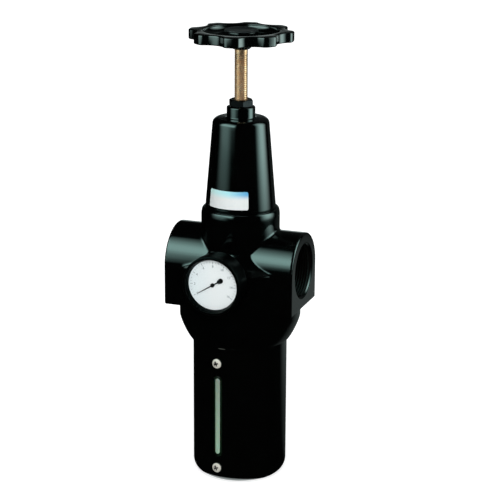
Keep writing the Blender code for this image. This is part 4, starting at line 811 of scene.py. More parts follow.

# Sintered polyethylene: chalky off-white beads fused together, drawn at 0.4 mm, with painted shade in the
# pores between them.
sinter, tree, shader, where = surface_material("sintered_polyethylene_element")
beads = add_node(tree, "ShaderNodeTexVoronoi", links={"Vector": where, "Scale": 1 / (0.4 * MM)})
# Painted shade: the colour darkens towards each bead's edge, in the pores.
tint = add_node(tree, "ShaderNodeMix", {"data_type": "RGBA"}, {
    "Factor": beads.outputs["Distance"], "A": linear("#E9E6DC"), "B": linear("#B9B4A4")})
bump = add_node(tree, "ShaderNodeBump", {"invert": True}, {
    "Strength": 1.0, "Distance": 0.12 * MM, "Height": beads.outputs["Distance"]})
join(tree, shader, {
    "Base Color": tint.outputs["Result"], "Normal": bump.outputs["Normal"], "Roughness": 0.85})
dress(sinter, "filter_element")
dress(grey_nylon, "deflector", "baffle")
dress(bright_zinc, "element_stud", "baffle_nut")

# Body: one zinc die casting in gloss black enamel. Skirt, flared neck, port bosses and gauge pads are
# cast, with rounded edges; ports, pad faces, bowl thread and neck bore are machined after it.
SKIRT_RADIUS = 0.054
SKIRT_MOUTH = 0.128
SKIRT_TOP = 0.1968
SKIRT_TAPER = 0.0106
TAPER_RISE = 0.022
TAPER_FULLNESS = 1.22
TAPER_STEPS = 16
SHOULDER = (0.0528, 0.198)
FLARE_BEND = (0.041455, 0.20295)
NECK_RADIUS = 0.0347
NECK_FOOT = 0.213
NECK_TOP = 0.248
NECK_ROUNDING = 0.0065
PORT_FACE = 0.0595
BOSS_RADIUS = 0.034
BOSS_EDGE = 0.001
PAD_RADIUS = 0.014
PAD_REACH = 0.0475
VOXEL = 0.0009
SMOOTHING = 3
casting_enamel = enamel("gloss_black_enamel_on_die_casting", "#010101", 0.12, 1.3, 0.004, "#030303")


def curve_points(start, control, end, steps):
    """Points of a quadratic curve, without its first."""
    points = []
    for i in range(1, steps + 1):
        t = i / steps
        weights = ((1 - t) ** 2, 2 * t * (1 - t), t * t)
        points.append(tuple(sum(w * p[k] for w, p in zip(weights, (start, control, end))) for k in (0, 1)))
    return points


def arch(inset):
    """A port boss seen from its end: a half round over a square, as y and z."""
    radius = BOSS_RADIUS - inset
    top = arc(0, PORT_HEIGHT, radius, 0, 180, 56)
    return top + [(-radius, PORT_HEIGHT - radius), (radius, PORT_HEIGHT - radius)]


def prism(name, outline, start, end):
    """An upright block with one outline, from one height to another."""
    return skin(name, [[(x, y, z) for x, y in outline] for z in (start, end)])


profile = [(0.0, SKIRT_MOUTH)]
for i in range(TAPER_STEPS + 1):
    a = math.radians(90 * i / TAPER_STEPS)
    profile.append((SKIRT_RADIUS - SKIRT_TAPER * (1 - math.sin(a) ** (2 / TAPER_FULLNESS)),
                    SKIRT_MOUTH + TAPER_RISE * (1 - math.cos(a) ** (2 / TAPER_FULLNESS))))
profile += [(SKIRT_RADIUS, SKIRT_TOP), SHOULDER]
profile += curve_points(SHOULDER, FLARE_BEND, (NECK_RADIUS, NECK_FOOT), 12)
neck_edge = (NECK_RADIUS, NECK_TOP - NECK_ROUNDING)
profile.append(neck_edge)
profile += curve_points(neck_edge, (NECK_RADIUS, NECK_TOP - 0.0035),
                        (NECK_RADIUS - 0.0009, NECK_TOP - 0.0008), 8)
profile += [(NECK_RADIUS - 0.0014, NECK_TOP - 0.0001), (NECK_RADIUS - 0.0020, NECK_TOP), (0.0, NECK_TOP)]
casting = spun("body_casting", profile, 144)
stations = [(-PORT_FACE, BOSS_EDGE), (BOSS_EDGE - PORT_FACE, 0.0),
            (PORT_FACE - BOSS_EDGE, 0.0), (PORT_FACE, BOSS_EDGE)]
bosses = skin("bosses", [[(x, y, z) for y, z in arch(inset)] for x, inset in stations])
pads = pin("pads", (0, -PAD_REACH, PORT_HEIGHT), (0, PAD_REACH, PORT_HEIGHT), PAD_RADIUS, 64)
casting = cut(casting, [bosses, pads], "UNION")

# The union is wrapped in one skin and smoothed, which rounds the cast edges before the machining.
block = bpy.data.objects.new("work", casting)
step = block.modifiers.new("skin", "REMESH")
step.mode = "VOXEL"
step.voxel_size = VOXEL
step = block.modifiers.new("flow", "SMOOTH")
step.factor = 0.5
step.iterations = SMOOTHING
casting = evaluated(block)

# Cored and machined room, from below: bowl thread's bore with its chamfer, gallery, valve housing's bore,
# outlet room, stem hole, diaphragm room and the bonnet's bore.
CORE_LOW = 0.120
CORE_HIGH = 0.255
MOUTH_BORE = 0.0436
MOUTH_CHAMFER = (0.1275, 0.1287)
BOWL_BORE = 0.0424
BOWL_BORE_TOP = 0.157
GALLERY_TOP = 0.1676
HOUSING_BORE = 0.0243
HOUSING_TOP = 0.203
OUTLET_ROOM = 0.020
OUTLET_ROOF = 0.222
STEM_HOLE = 0.0035
DIAPHRAGM_ROOM = 0.027
DIAPHRAGM_FLOOR = 0.228
CLAMP_FACE = 0.236
SPIGOT_BORE = 0.0303
SPIGOT_MOUTH = 0.0309
SPIGOT_CHAMFER = (0.2476, 0.2482)
tools = [spun("core", [
    (0.0, CORE_LOW), (MOUTH_BORE, CORE_LOW), (MOUTH_BORE, MOUTH_CHAMFER[0]), (BOWL_BORE, MOUTH_CHAMFER[1]),
    (BOWL_BORE, BOWL_BORE_TOP), (BOWL_INNER, BOWL_BORE_TOP), (BOWL_INNER, GALLERY_TOP),
    (HOUSING_BORE, GALLERY_TOP), (HOUSING_BORE, HOUSING_TOP), (OUTLET_ROOM, HOUSING_TOP),
    (OUTLET_ROOM, OUTLET_ROOF), (STEM_HOLE, OUTLET_ROOF), (STEM_HOLE, DIAPHRAGM_FLOOR),
    (DIAPHRAGM_ROOM, DIAPHRAGM_FLOOR), (DIAPHRAGM_ROOM, CLAMP_FACE), (SPIGOT_BORE, CLAMP_FACE),
    (SPIGOT_BORE, SPIGOT_CHAMFER[0]), (SPIGOT_MOUTH, SPIGOT_CHAMFER[1]), (SPIGOT_MOUTH, CORE_HIGH),
    (0.0, CORE_HIGH)], 96)]

# Tapping drills of both ports, the window from the outlet room, the slot that swirls inlet air down into
# the bowl, and the two gauge pads with their bores.
BORE_RADIUS = 0.0236
BORE_MOUTH = 0.0252
BORE_DEPTH = 0.0295
BORE_RUNOUT = 0.002
OUTLET_HEIGHT = 0.2125
OUTLET_RADIUS = 0.0075
OUTLET_REACH = 0.035
INLET_SWEEP = math.radians(80)
INLET_INNER = 0.017
INLET_LOW = 0.1626
INLET_HIGH = 0.200
INLET_STEPS = 24
PAD_FACE = 0.046
FRONT_POCKET = 0.0270
REAR_POCKET = 0.0148
PAD_BORE = 0.0063
PAD_BORE_START = 0.034
PAD_CUT_END = 0.060
for side in (-1, 1):
    port = spun("port", [
        (0.0, PORT_FACE - BORE_DEPTH), (BORE_RADIUS, PORT_FACE - BORE_DEPTH),
        (BORE_RADIUS, PORT_FACE - BORE_MOUTH + BORE_RADIUS),
        (BORE_MOUTH + BORE_RUNOUT, PORT_FACE + BORE_RUNOUT), (0.0, PORT_FACE + BORE_RUNOUT)], 96)
    port.transform(Matrix.Translation((0, 0, PORT_HEIGHT)) @ Matrix.Rotation(side * math.pi / 2, 4, "Y"))
    tools.append(port)
tools.append(pin("window", (0, 0, OUTLET_HEIGHT), (OUTLET_REACH, 0, OUTLET_HEIGHT), OUTLET_RADIUS, 48))
angles = [math.pi - INLET_SWEEP / 2 + INLET_SWEEP * i / INLET_STEPS for i in range(INLET_STEPS + 1)]
outline = [(BOWL_INNER * math.cos(a), BOWL_INNER * math.sin(a)) for a in angles]
outline += [(INLET_INNER * math.cos(a), INLET_INNER * math.sin(a)) for a in reversed(angles)]
tools.append(prism("inlet_slot", outline, INLET_LOW, INLET_HIGH))
for side, pocket in ((-1, FRONT_POCKET), (1, REAR_POCKET)):
    end = (0, side * PAD_CUT_END, PORT_HEIGHT)
    tools.append(pin("pad", (0, side * PAD_FACE, PORT_HEIGHT), end, pocket, 96))
    tools.append(pin("pad_bore", (0, side * PAD_BORE_START, PORT_HEIGHT), end, PAD_BORE, 48))
body = finished("body_casting", cut(casting, tools), casting_enamel, UPRIGHT, 32)
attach(body, "body")
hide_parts("valve_body")

# Port threads: G1-1/2 pipe thread, 11 to the inch, tapped in both ports and enamelled thinly with the
# casting. The thread is a ridge that Geometry Nodes wind on a spiral, behind a plain dull mouth.
THREAD_PITCH = 0.002309
THREAD_TURNS = 9
THREAD_CREST = 0.0224
THREAD_INSET = 0.0035
RIDGE_SHARE = 0.49
LINER_DEPTH = 0.0042
LINER_BEND = 0.0018
LINER_FILM = 0.0001
LINER_BURY = 0.0003
LINER_EDGE = 0.00005


def adjust(finish, values):
    """Changes some of a finish's own values."""
    join(finish.node_tree, finish.node_tree.nodes["Principled BSDF"], values)


# Thin enamel on a tapped thread: brownish black and almost without shine, as little of it reaches the bore.
bore_enamel = enamel("thin_enamel_on_tapped_thread", "#030202", 0.6, 0.8, 0.010, "#0C0806", 0.0)
adjust(bore_enamel, {"Specular IOR Level": 0.15})

thread_tree, given, result = node_tree("wound_thread", {
    "Radius": float, "Ridge": float, "Pitch": float, "Turns": float, "Steps": int,
    "Finish": bpy.types.Material})
length = add_node(thread_tree, "ShaderNodeMath", {"operation": "MULTIPLY"}, {
    0: given["Pitch"], 1: given["Turns"]})
spiral = add_node(thread_tree, "GeometryNodeCurveSpiral", links={
    "Resolution": given["Steps"], "Rotations": given["Turns"], "Start Radius": given["Radius"],
    "End Radius": given["Radius"], "Height": length.outputs[0]})
upright = add_node(thread_tree, "GeometryNodeSetCurveNormal", {"mode": "Z_UP"}, {
    "Curve": spiral.outputs["Curve"]})
section = add_node(thread_tree, "GeometryNodeCurvePrimitiveCircle", {"mode": "RADIUS"}, {
    "Resolution": 4, "Radius": given["Ridge"]})
ridge = add_node(thread_tree, "GeometryNodeCurveToMesh", links={
    "Curve": upright.outputs["Curve"], "Profile Curve": section.outputs["Curve"], "Fill Caps": True})
end_tree(thread_tree, ridge.outputs["Mesh"], given["Finish"], result)
ridges = bmesh.new()
for side in (-1, 1):
    port_place = Matrix.Translation((0, AXIS_Y, PORT_HEIGHT)) @ Matrix.Rotation(side * math.pi / 2, 4, "Y")
    wound = grown("port_thread", thread_tree, {
        "Radius": THREAD_CREST + THREAD_PITCH * RIDGE_SHARE, "Ridge": THREAD_PITCH * RIDGE_SHARE,
        "Pitch": THREAD_PITCH, "Turns": float(THREAD_TURNS), "Steps": 64, "Finish": bore_enamel})
    deepest = PORT_FACE - THREAD_INSET - THREAD_PITCH * THREAD_TURNS
    wound.transform(port_place @ Matrix.Translation((0, 0, deepest)))
    ridges.from_mesh(wound)
    mouth = spun("mouth", [
        (BORE_RADIUS - LINER_FILM, PORT_FACE - LINER_DEPTH),
        (BORE_RADIUS - LINER_FILM, PORT_FACE - LINER_BEND),
        (BORE_MOUTH - LINER_FILM, PORT_FACE - LINER_EDGE), (BORE_MOUTH + LINER_FILM, PORT_FACE - LINER_EDGE),
        (BORE_RADIUS + LINER_BURY, PORT_FACE - LINER_BEND),
        (BORE_RADIUS + LINER_BURY, PORT_FACE - LINER_DEPTH)], 96, closed=True)
    mouth.transform(port_place)
    ridges.from_mesh(mouth)
threads = finished("port_threads", mesh_from("port_threads", ridges), bore_enamel, None, 40)
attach(threads, "body")

# Valve: a turned brass housing screwed up into the body, a poppet with a rubber seal on its seat, the
# coiled steel spring below it and the cap that guides it.
dress(turned_brass, "valve_housing", "valve_poppet", "valve_cap")
dress(seal_rubber, "valve_seal")


def coil_spring(node):
    """A spring as a piece of its own, with its own mesh, carried by the body."""
    shape = bmesh.new()
    shape.from_mesh(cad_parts[node].data)
    bmesh.ops.remove_doubles(shape, verts=shape.verts, dist=1e-6)
    coil = finished(node + "_coil", mesh_from(node + "_coil", shape), bright_zinc, None, 40)
    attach(coil, "body")
    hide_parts(node)
    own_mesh(coil)


coil_spring("valve_spring")

# Diaphragm set: fabric-reinforced rubber clamped at its rim under the bonnet, with a brass relief seat, a
# pressed steel plate and a nut at its middle. The main spring stands on the plate. The rubber is cut into
# sectors, each reaching from the plate out to the clamped rim.
SECTORS = 12
dress(turned_brass, "relief_seat")
dress(bright_zinc, "lower_spring_plate", "diaphragm_nut", "upper_spring_seat")
whole = bmesh.new()
whole.from_mesh(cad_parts["diaphragm"].data)
bmesh.ops.remove_doubles(whole, verts=whole.verts, dist=1e-6)
middle = Vector((0, AXIS_Y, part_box("diaphragm")[0][2]))
half = math.pi / SECTORS
for i in range(SECTORS):
    wedge = whole.copy()
    outward = 2 * half * i
    for side in (-1, 1):
        edge = outward + side * half
        away = Vector((-side * math.sin(edge), side * math.cos(edge), 0))
        every = wedge.verts[:] + wedge.edges[:] + wedge.faces[:]
        fresh = bmesh.ops.bisect_plane(wedge, geom=every, plane_co=middle, plane_no=away, clear_outer=True)
        rim = [e for e in fresh["geom_cut"] if isinstance(e, bmesh.types.BMEdge)]
        bmesh.ops.holes_fill(wedge, edges=rim)
    bmesh.ops.recalc_face_normals(wedge, faces=wedge.faces)
    mesh = mesh_from("diaphragm_sector", wedge)
    sector = finished(f"diaphragm_sector_{i}", mesh, seal_rubber, None, 30)
    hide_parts("diaphragm")
    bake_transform(sector)
whole.free()
coil_spring("main_spring")

# Bonnet: a tapered die-cast bell over the spring, enamelled like the body, with a threaded boss on top
# and a small vent at its back. Its spigot sits in the neck.
BONNET_BASE = 0.2483
BONNET_TOP = 0.328
BONNET_FOOT_RADIUS = 0.0311
BONNET_FOOT_EDGE = 0.0004
BONNET_SHOULDER_RADIUS = 0.0249
BONNET_CORNER = 0.005
BONNET_TAPER = 4.7
BONNET_BOSS_RADIUS = 0.0125
BONNET_BOSS_TOP = 0.3378
BONNET_BOSS_FILLET = 0.0012
BONNET_BOSS_EDGE = 0.001
SPIGOT_RADIUS = 0.030
SPIGOT_FOOT = 0.2386
SPIGOT_INNER = 0.026
BELL_INNER_FOOT = (0.0271, 0.2523)
BELL_INNER_HEAD = (0.0209, 0.323)
SCREW_BORE = 0.006
VENT_RADIUS = 0.0015
VENT_RISE = 0.010
VENT_START = 0.0135
VENT_END = 0.054

profile = [(SPIGOT_RADIUS, SPIGOT_FOOT), (SPIGOT_RADIUS, BONNET_BASE)]
profile += [(BONNET_FOOT_RADIUS - BONNET_FOOT_EDGE, BONNET_BASE)]
profile += arc(BONNET_FOOT_RADIUS - BONNET_FOOT_EDGE, BONNET_BASE + BONNET_FOOT_EDGE, BONNET_FOOT_EDGE,
               -90, BONNET_TAPER, 3)
shoulder = arc(BONNET_SHOULDER_RADIUS - BONNET_CORNER, BONNET_TOP - BONNET_CORNER, BONNET_CORNER,
               BONNET_TAPER, 90, 12)
wall_foot, wall_head = Vector(profile[-1]), Vector(shoulder[0])
profile += [tuple(wall_foot.lerp(wall_head, share)) for share in (0.02, 0.2, 0.4, 0.6, 0.8, 0.96)]
profile += shoulder
profile += arc(BONNET_BOSS_RADIUS + BONNET_BOSS_FILLET, BONNET_TOP + BONNET_BOSS_FILLET, BONNET_BOSS_FILLET,
               270, 180, 6)
profile += arc(BONNET_BOSS_RADIUS - BONNET_BOSS_EDGE, BONNET_BOSS_TOP - BONNET_BOSS_EDGE, BONNET_BOSS_EDGE,
               0, 90, 5)
profile += [(SCREW_BORE + 0.0006, BONNET_BOSS_TOP), (SCREW_BORE, BONNET_BOSS_TOP - 0.0006),
            (SCREW_BORE, BELL_INNER_HEAD[1]), BELL_INNER_HEAD, BELL_INNER_FOOT,
            (SPIGOT_INNER, BONNET_BASE), (SPIGOT_INNER, SPIGOT_FOOT)]
bell = spun("bonnet_bell", profile, 144, closed=True)
vent = pin("vent", (0, VENT_START, BONNET_BASE + VENT_RISE), (0, VENT_END, BONNET_BASE + VENT_RISE),
           VENT_RADIUS, 24)
bonnet = finished("bonnet_bell", cut(bell, [vent]), casting_enamel, UPRIGHT)
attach(bonnet, "body")
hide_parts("bonnet")

# Label: a bare printed polyester sticker with a blue band along its top, laid round the bonnet's front
# and held by its own adhesive.
LABEL_LEFT = math.radians(-40)
LABEL_RIGHT = math.radians(33)
LABEL_LOW = 0.2524
LABEL_HIGH = 0.2682
LABEL_CORNER = 0.0008
LABEL_FRONT = 0.00018
LABEL_THICKNESS = 0.0003
LABEL_STEPS = 40
LABEL_ROWS = 12
BAND_LOW = 0.2606
BAND_FULL = 0.2665


def bonnet_radius(z):
    """The bonnet's outside at a height on its taper."""
    taper = math.radians(BONNET_TAPER)
    foot = (BONNET_FOOT_RADIUS, BONNET_BASE + BONNET_FOOT_EDGE)
    head = (BONNET_SHOULDER_RADIUS - BONNET_CORNER + BONNET_CORNER * math.cos(taper),
            BONNET_TOP - BONNET_CORNER + BONNET_CORNER * math.sin(taper))
    t = (z - foot[1]) / (head[1] - foot[1])
    return foot[0] + t * (head[0] - foot[0])


rings = []
for row in range(LABEL_ROWS + 1):
    z = LABEL_LOW + (LABEL_HIGH - LABEL_LOW) * row / LABEL_ROWS
    near_end = min(z - LABEL_LOW, LABEL_HIGH - z)
    trim = LABEL_CORNER - math.sqrt(max(0.0, LABEL_CORNER ** 2 - max(0.0, LABEL_CORNER - near_end) ** 2))
    front = bonnet_radius(z) + LABEL_FRONT
    sweep = LABEL_RIGHT - LABEL_LEFT - 2 * trim / front
    ring = []
    for skin_radius, order in ((front, 1), (front - LABEL_THICKNESS, -1)):
        for i in range(LABEL_STEPS + 1)[::order]:
            angle = LABEL_LEFT + trim / front + sweep * i / LABEL_STEPS
            ring.append((skin_radius * math.sin(angle), -skin_radius * math.cos(angle), z))
    rings.append(ring)

# Printed polyester: cool white with a faint fibre, and a band that deepens from mint to clear blue.
printed, tree, shader, where = surface_material("printed_polyester_label")
spot = add_node(tree, "ShaderNodeSeparateXYZ", links={"Vector": where})
across = add_node(tree, "ShaderNodeMapRange", links={
    "Value": spot.outputs["X"], "From Min": -0.018, "From Max": 0.017})
band = add_node(tree, "ShaderNodeValToRGB", links={"Fac": across.outputs["Result"]})
band.color_ramp.elements[0].color = linear("#CDF3EE")
band.color_ramp.elements[1].color = linear("#4FA6DC")
band.color_ramp.elements.new(0.5).color = linear("#B0EAF2")
edge = add_node(tree, "ShaderNodeMapRange", {"interpolation_type": "SMOOTHSTEP"}, {
    "Value": spot.outputs["Z"], "From Min": BAND_LOW, "From Max": BAND_FULL})
fibre = add_node(tree, "ShaderNodeTexNoise", links={"Vector": where, "Scale": 1 / (2.5 * MM), "Detail": 4.0})
paper = add_node(tree, "ShaderNodeMix", {"data_type": "RGBA"}, {
    "Factor": fibre.outputs["Fac"], "A": linear("#E0E7E7"), "B": linear("#EDF0EF")})
tint = add_node(tree, "ShaderNodeMix", {"data_type": "RGBA"}, {
    "Factor": edge.outputs["Result"], "A": paper.outputs["Result"], "B": band.outputs["Color"]})
join(tree, shader, {"Base Color": tint.outputs["Result"], "Roughness": 0.42})
label = finished("bonnet_label", skin("bonnet_label", rings), printed, UPRIGHT)
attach(label, "body")

# Adjusting screw: brass with a rolled M12 thread, a plain tip at its foot and a shoulder that carries the
# wheel. The ridge is wound by the same tree as the port threads, on a core of the thread's root.
SCREW_PITCH = 0.00175
SCREW_ROOT = 0.00507
SCREW_TURN_STEPS = 40
SCREW_RADIUS = 0.0057
THREAD_FLOOR = 0.0056
THREAD_START = 0.0045
THREAD_END = 0.3835
TIP_RADIUS = 0.0045
TIP_EDGE = 0.0002
TIP_LENGTH = 0.003
RUNOUT = 0.0006
SCREW_SHOULDER = 0.3877
SHOULDER_EDGE = 0.0003
STUB_RADIUS = 0.004
STUB_EDGE = 0.0004
low, high = corners_of("adjusting_screw")
tip, end = low.z, high.z
stem_brass = brass_finish("rolled_brass_thread", "#E8B384", "#F8D6AE", 0.29, 0.3, 0.8)
profile = [(0.0, tip), (TIP_RADIUS - TIP_EDGE, tip), (TIP_RADIUS, tip + TIP_EDGE),
           (TIP_RADIUS, tip + TIP_LENGTH), (THREAD_FLOOR, tip + TIP_LENGTH + RUNOUT),
           (THREAD_FLOOR, THREAD_END), (SCREW_RADIUS, THREAD_END + RUNOUT),
           (SCREW_RADIUS, SCREW_SHOULDER - SHOULDER_EDGE), (SCREW_RADIUS - SHOULDER_EDGE, SCREW_SHOULDER),
           (STUB_RADIUS, SCREW_SHOULDER), (STUB_RADIUS, end - STUB_EDGE), (STUB_RADIUS - STUB_EDGE, end),
           (0.0, end)]
ridges = bmesh.new()
ridges.from_mesh(spun("screw", profile, 64))
wound = grown("screw_thread", thread_tree, {
    "Radius": SCREW_ROOT, "Ridge": SCREW_PITCH * RIDGE_SHARE, "Pitch": SCREW_PITCH,
    "Turns": (THREAD_END - tip - THREAD_START) / SCREW_PITCH, "Steps": SCREW_TURN_STEPS,
    "Finish": stem_brass})
wound.transform(Matrix.Translation((0, 0, tip + THREAD_START)))
ridges.from_mesh(wound)
screw = mesh_from("adjusting_screw_threaded", ridges)
screw = finished("adjusting_screw_threaded", screw, stem_brass, UPRIGHT, 30)
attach(screw, "wheel")
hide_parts("adjusting_screw")

# Lock nut and wheel nut: the first is blackened and the second zinc plated. Both are hexagons with their
# ends turned to a 30 degree chamfer and the hole countersunk.
LOCK_NUT_FLATS = 0.019
LOCK_NUT_HOLE = 0.006
WHEEL_NUT_FLATS = 0.013
WHEEL_NUT_HOLE = 0.0043
NUT_CHAMFER = 0.0004
COUNTERSINK = 0.0015
COUNTERSINK_DEPTH = 0.0005
OVERCUT = 0.001
black_oxide = plated("blackened_steel", "#16181A", "#2A2D2E", 0.22, 2.5, 0.003)


def hexagon_nut(name, flats, hole, bottom, top):
    """A hexagon prism met with a turned blank whose ends are chamfered, bored through."""
    corner = flats / math.sqrt(3)
    land = flats / 2 - NUT_CHAMFER
    drop = (corner - flats / 2 + NUT_CHAMFER) * math.tan(math.radians(30))
    blank = spun(name, [(0.0, bottom), (land, bottom), (corner, bottom + drop),
                        (corner, top - drop), (land, top), (0.0, top)], 96)
    below, above = bottom - OVERCUT, top + OVERCUT
    nut = cut(blank, [prism("prism", round_points(corner, 6), below, above)], "INTERSECT")
    bore = spun("bore", [
        (0.0, below), (hole + COUNTERSINK, below), (hole, bottom + COUNTERSINK_DEPTH),
        (hole, top - COUNTERSINK_DEPTH), (hole + COUNTERSINK, above), (0.0, above)], 48)
    return cut(nut, [bore])


low, high = corners_of("lock_nut")
nut = hexagon_nut("lock_nut_hex", LOCK_NUT_FLATS, LOCK_NUT_HOLE, low.z, high.z)
nut = finished("lock_nut_hex", nut, black_oxide, UPRIGHT, 25)
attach(nut, "lock_nut")
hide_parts("lock_nut")

low, high = corners_of("wheel_nut")
nut = hexagon_nut("wheel_nut_hex", WHEEL_NUT_FLATS, WHEEL_NUT_HOLE, low.z, high.z)
nut = finished("wheel_nut_hex", nut, bright_zinc, UPRIGHT, 25)
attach(nut, "wheel")
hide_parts("wheel_nut")

# Handwheel: moulded in gloss black nylon. Eight lobes stand out of a deep rim, and a thin web joins it to
# a conical hub, which sits on the screw's shoulder under the wheel nut.
WHEEL_RADIUS = 0.0458
WHEEL_LOBES = 8
WHEEL_TURN = math.radians(31.5)
NOTCH_DEPTH = 0.007
NOTCH_RADIUS = 0.015
LOBE_FILLET = 0.0055
RIM_INNER = 0.0335
RIM_EDGE = 0.0011
RIM_INNER_EDGE = 0.0008
RIM_LOW = 0.3954
RIM_TOP = 0.4041
WEB_TOP = 0.3976
WEB_INNER = 0.0128
COVE = 0.0070
COVE_FLATTEN = 0.8
HUB_LOW = 0.388
HUB_TOP = 0.4033
HUB_FOOT = 0.008
HUB_FOOT_EDGE = 0.0006
HUB_RADIUS = 0.0145
HUB_EDGE = 0.0004
HUB_RECESS = 0.011
HUB_FLOOR = 0.3988
HUB_BORE = 0.0043


def lobed(inset, steps=9):
    """The rim's outline: round notches between lobes with rounded corners, all by tangent arcs."""
    radius = WHEEL_RADIUS - inset
    notch = NOTCH_RADIUS + inset
    notch_centre = WHEEL_RADIUS - NOTCH_DEPTH + NOTCH_RADIUS
    fillet = LOBE_FILLET - inset
    ring = radius - fillet
    reach = notch + fillet
    lean = math.acos((notch_centre ** 2 + ring ** 2 - reach ** 2) / (2 * notch_centre * ring))
    centre = Vector((ring * math.cos(lean), ring * math.sin(lean)))
    towards = Vector((notch_centre, 0)) - centre
    touch = math.atan2(towards.y, towards.x) + math.tau
    sweep = math.atan2(-towards.y, -towards.x)
    corner, floor, crown = [], [], []
    for i in range(steps + 1):
        a = touch + (lean + math.tau - touch) * i / steps
        corner.append(centre + fillet * Vector((math.cos(a), math.sin(a))))
    for i in range(1, steps):
        a = sweep + (math.tau - 2 * sweep) * i / steps
        floor.append(Vector((notch_centre + notch * math.cos(a), notch * math.sin(a))))
    half_turn = math.pi / WHEEL_LOBES
    for i in range(1, 2 * steps):
        a = lean + 2 * (half_turn - lean) * i / (2 * steps)
        crown.append(radius * Vector((math.cos(a), math.sin(a))))
    mirrored = [Vector((p.x, -p.y)) for p in reversed(corner)]
    points = []
    for lobe in range(WHEEL_LOBES):
        turn = Matrix.Rotation(WHEEL_TURN + lobe * 2 * half_turn, 2)
        points += [tuple(turn @ p) for p in mirrored + floor[::-1] + corner + crown]
    return points


angles = [math.atan2(y, x) for x, y in lobed(0.0)]


def round_ring(radius, z):
    """A plain ring whose points lie at the same angles as the lobed outline's."""
    return [(radius * math.cos(a), radius * math.sin(a), z) for a in angles]


rings = []
for dx, dz in arc(0, 0, RIM_EDGE, -90, 0, 6):
    rings.append([(x, y, RIM_LOW + RIM_EDGE + dz) for x, y in lobed(RIM_EDGE - dx)])
for dx, dz in arc(0, 0, RIM_EDGE, 0, 90, 6):
    rings.append([(x, y, RIM_TOP - RIM_EDGE + dz) for x, y in lobed(RIM_EDGE - dx)])
rings += [round_ring(r, z) for r, z in arc(
    RIM_INNER + RIM_INNER_EDGE, RIM_TOP - RIM_INNER_EDGE, RIM_INNER_EDGE, 90, 180, 5)]
rings += [round_ring(r, z) for r, z in arc(
    RIM_INNER - COVE, WEB_TOP + COVE * COVE_FLATTEN, COVE, 0, -90, 14, COVE_FLATTEN)]
rings += [round_ring(WEB_INNER, WEB_TOP), round_ring(WEB_INNER, RIM_LOW)]
rim = skin("handwheel_moulding", rings, closed=True)
profile = [(HUB_BORE, HUB_LOW)]
profile += arc(HUB_FOOT - HUB_FOOT_EDGE, HUB_LOW + HUB_FOOT_EDGE, HUB_FOOT_EDGE, -90, -24, 4)
profile += [(HUB_RADIUS - 0.0004, RIM_LOW - 0.0009), (HUB_RADIUS, RIM_LOW - 0.0003)]
profile += arc(HUB_RADIUS - HUB_EDGE, HUB_TOP - HUB_EDGE, HUB_EDGE, 0, 90, 3)
profile += [(HUB_RECESS, HUB_TOP), (HUB_RECESS, HUB_FLOOR), (HUB_BORE, HUB_FLOOR)]
hub = spun("hub", profile, 96, closed=True)

# Gloss nylon: polished in the mould, so it is nearly as deep and wet as the enamel, with a cooler glint.
wheel_nylon = moulded("moulded_gloss_black_nylon", "#010202", "#040505", 0.12, 0.7, 0.004)
adjust(wheel_nylon, {"Specular Tint": (0.7, 1.0, 0.97, 1.0), "Coat Weight": 1.0, "Coat Roughness": 0.06})
wheel = finished("handwheel_moulding", cut(rim, [hub], "UNION"), wheel_nylon, UPRIGHT, 32)
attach(wheel, "wheel")
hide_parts("handwheel")

# Wheel cap: a disc of satin black nylon with a plug below, pressed into the hub's recess over the nut.
# Its face is dished a little inside a low border.
CAP_EDGE = 0.0005
CAP_GAP = 0.0003
CAP_DISH = 0.0002
CAP_DISH_RADIUS = 0.0090
CAP_BORDER = 0.0095
low, high = corners_of("wheel_cap")
profile = [(0.0, low.z), (HUB_RECESS - CAP_GAP, low.z), (HUB_RECESS - CAP_GAP, HUB_TOP + CAP_GAP)]
profile += [(HUB_RADIUS - 0.0001, HUB_TOP + CAP_GAP)]
profile += arc(HUB_RADIUS - CAP_EDGE, high.z - CAP_EDGE, CAP_EDGE, 0, 90, 6)
profile += [(CAP_BORDER, high.z), (CAP_DISH_RADIUS, high.z - CAP_DISH), (0.0, high.z - CAP_DISH)]
cap_nylon = moulded("moulded_satin_black_nylon", "#161B1C", "#262D2E", 0.4, 0.6, 0.006)
cap = finished("wheel_cap_disc", spun("wheel_cap_disc", profile, 96), cap_nylon, UPRIGHT)
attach(cap, "wheel")
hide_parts("wheel_cap")

# Gauge: a 50 mm back-mounted pressure gauge. Its socket screws into the front pad; a pressed steel case
# and snap-on bezel in black lacquer hold the dial, the pointer and a flat pane.
GAUGE_RADIUS = 0.0262
GAUGE_FRONT = 0.0733
WINDOW_RADIUS = 0.0236
BEZEL_LENGTH = 0.009
BEZEL_HEM = 0.0002
BEZEL_ROUNDING = 0.0012
BEZEL_LIP = 0.0004
CASE_RADIUS = 0.025
CASE_ROUNDING = 0.001
CASE_SKIN = 0.001
CASE_WALL = 0.0022
CASE_BACK = 0.0506
CASE_FRONT = 0.0710
DIAL_RADIUS = 0.0221
DIAL_FACE = 0.0681
DIAL_BED = 0.0005
SPACER_GAP = 0.0001
PANE_RADIUS = 0.0250
PANE_BACK = 0.0713
PANE_FRONT = 0.0723
PANE_EDGE = 0.0002
PANE_GAP = 0.0003
GAUGE_PLACE = Matrix.Translation((0, AXIS_Y, PORT_HEIGHT)) @ Matrix.Rotation(math.pi / 2, 4, "X")

# Black lacquer on pressed steel: thinner and flatter than the enamel, with only a dull, dark shine.
lacquer = enamel("black_lacquer_on_pressed_steel", "#010101", 0.3, 1.1, 0.003, "#040404", 0.0)
adjust(lacquer, {"Specular IOR Level": 0.08})

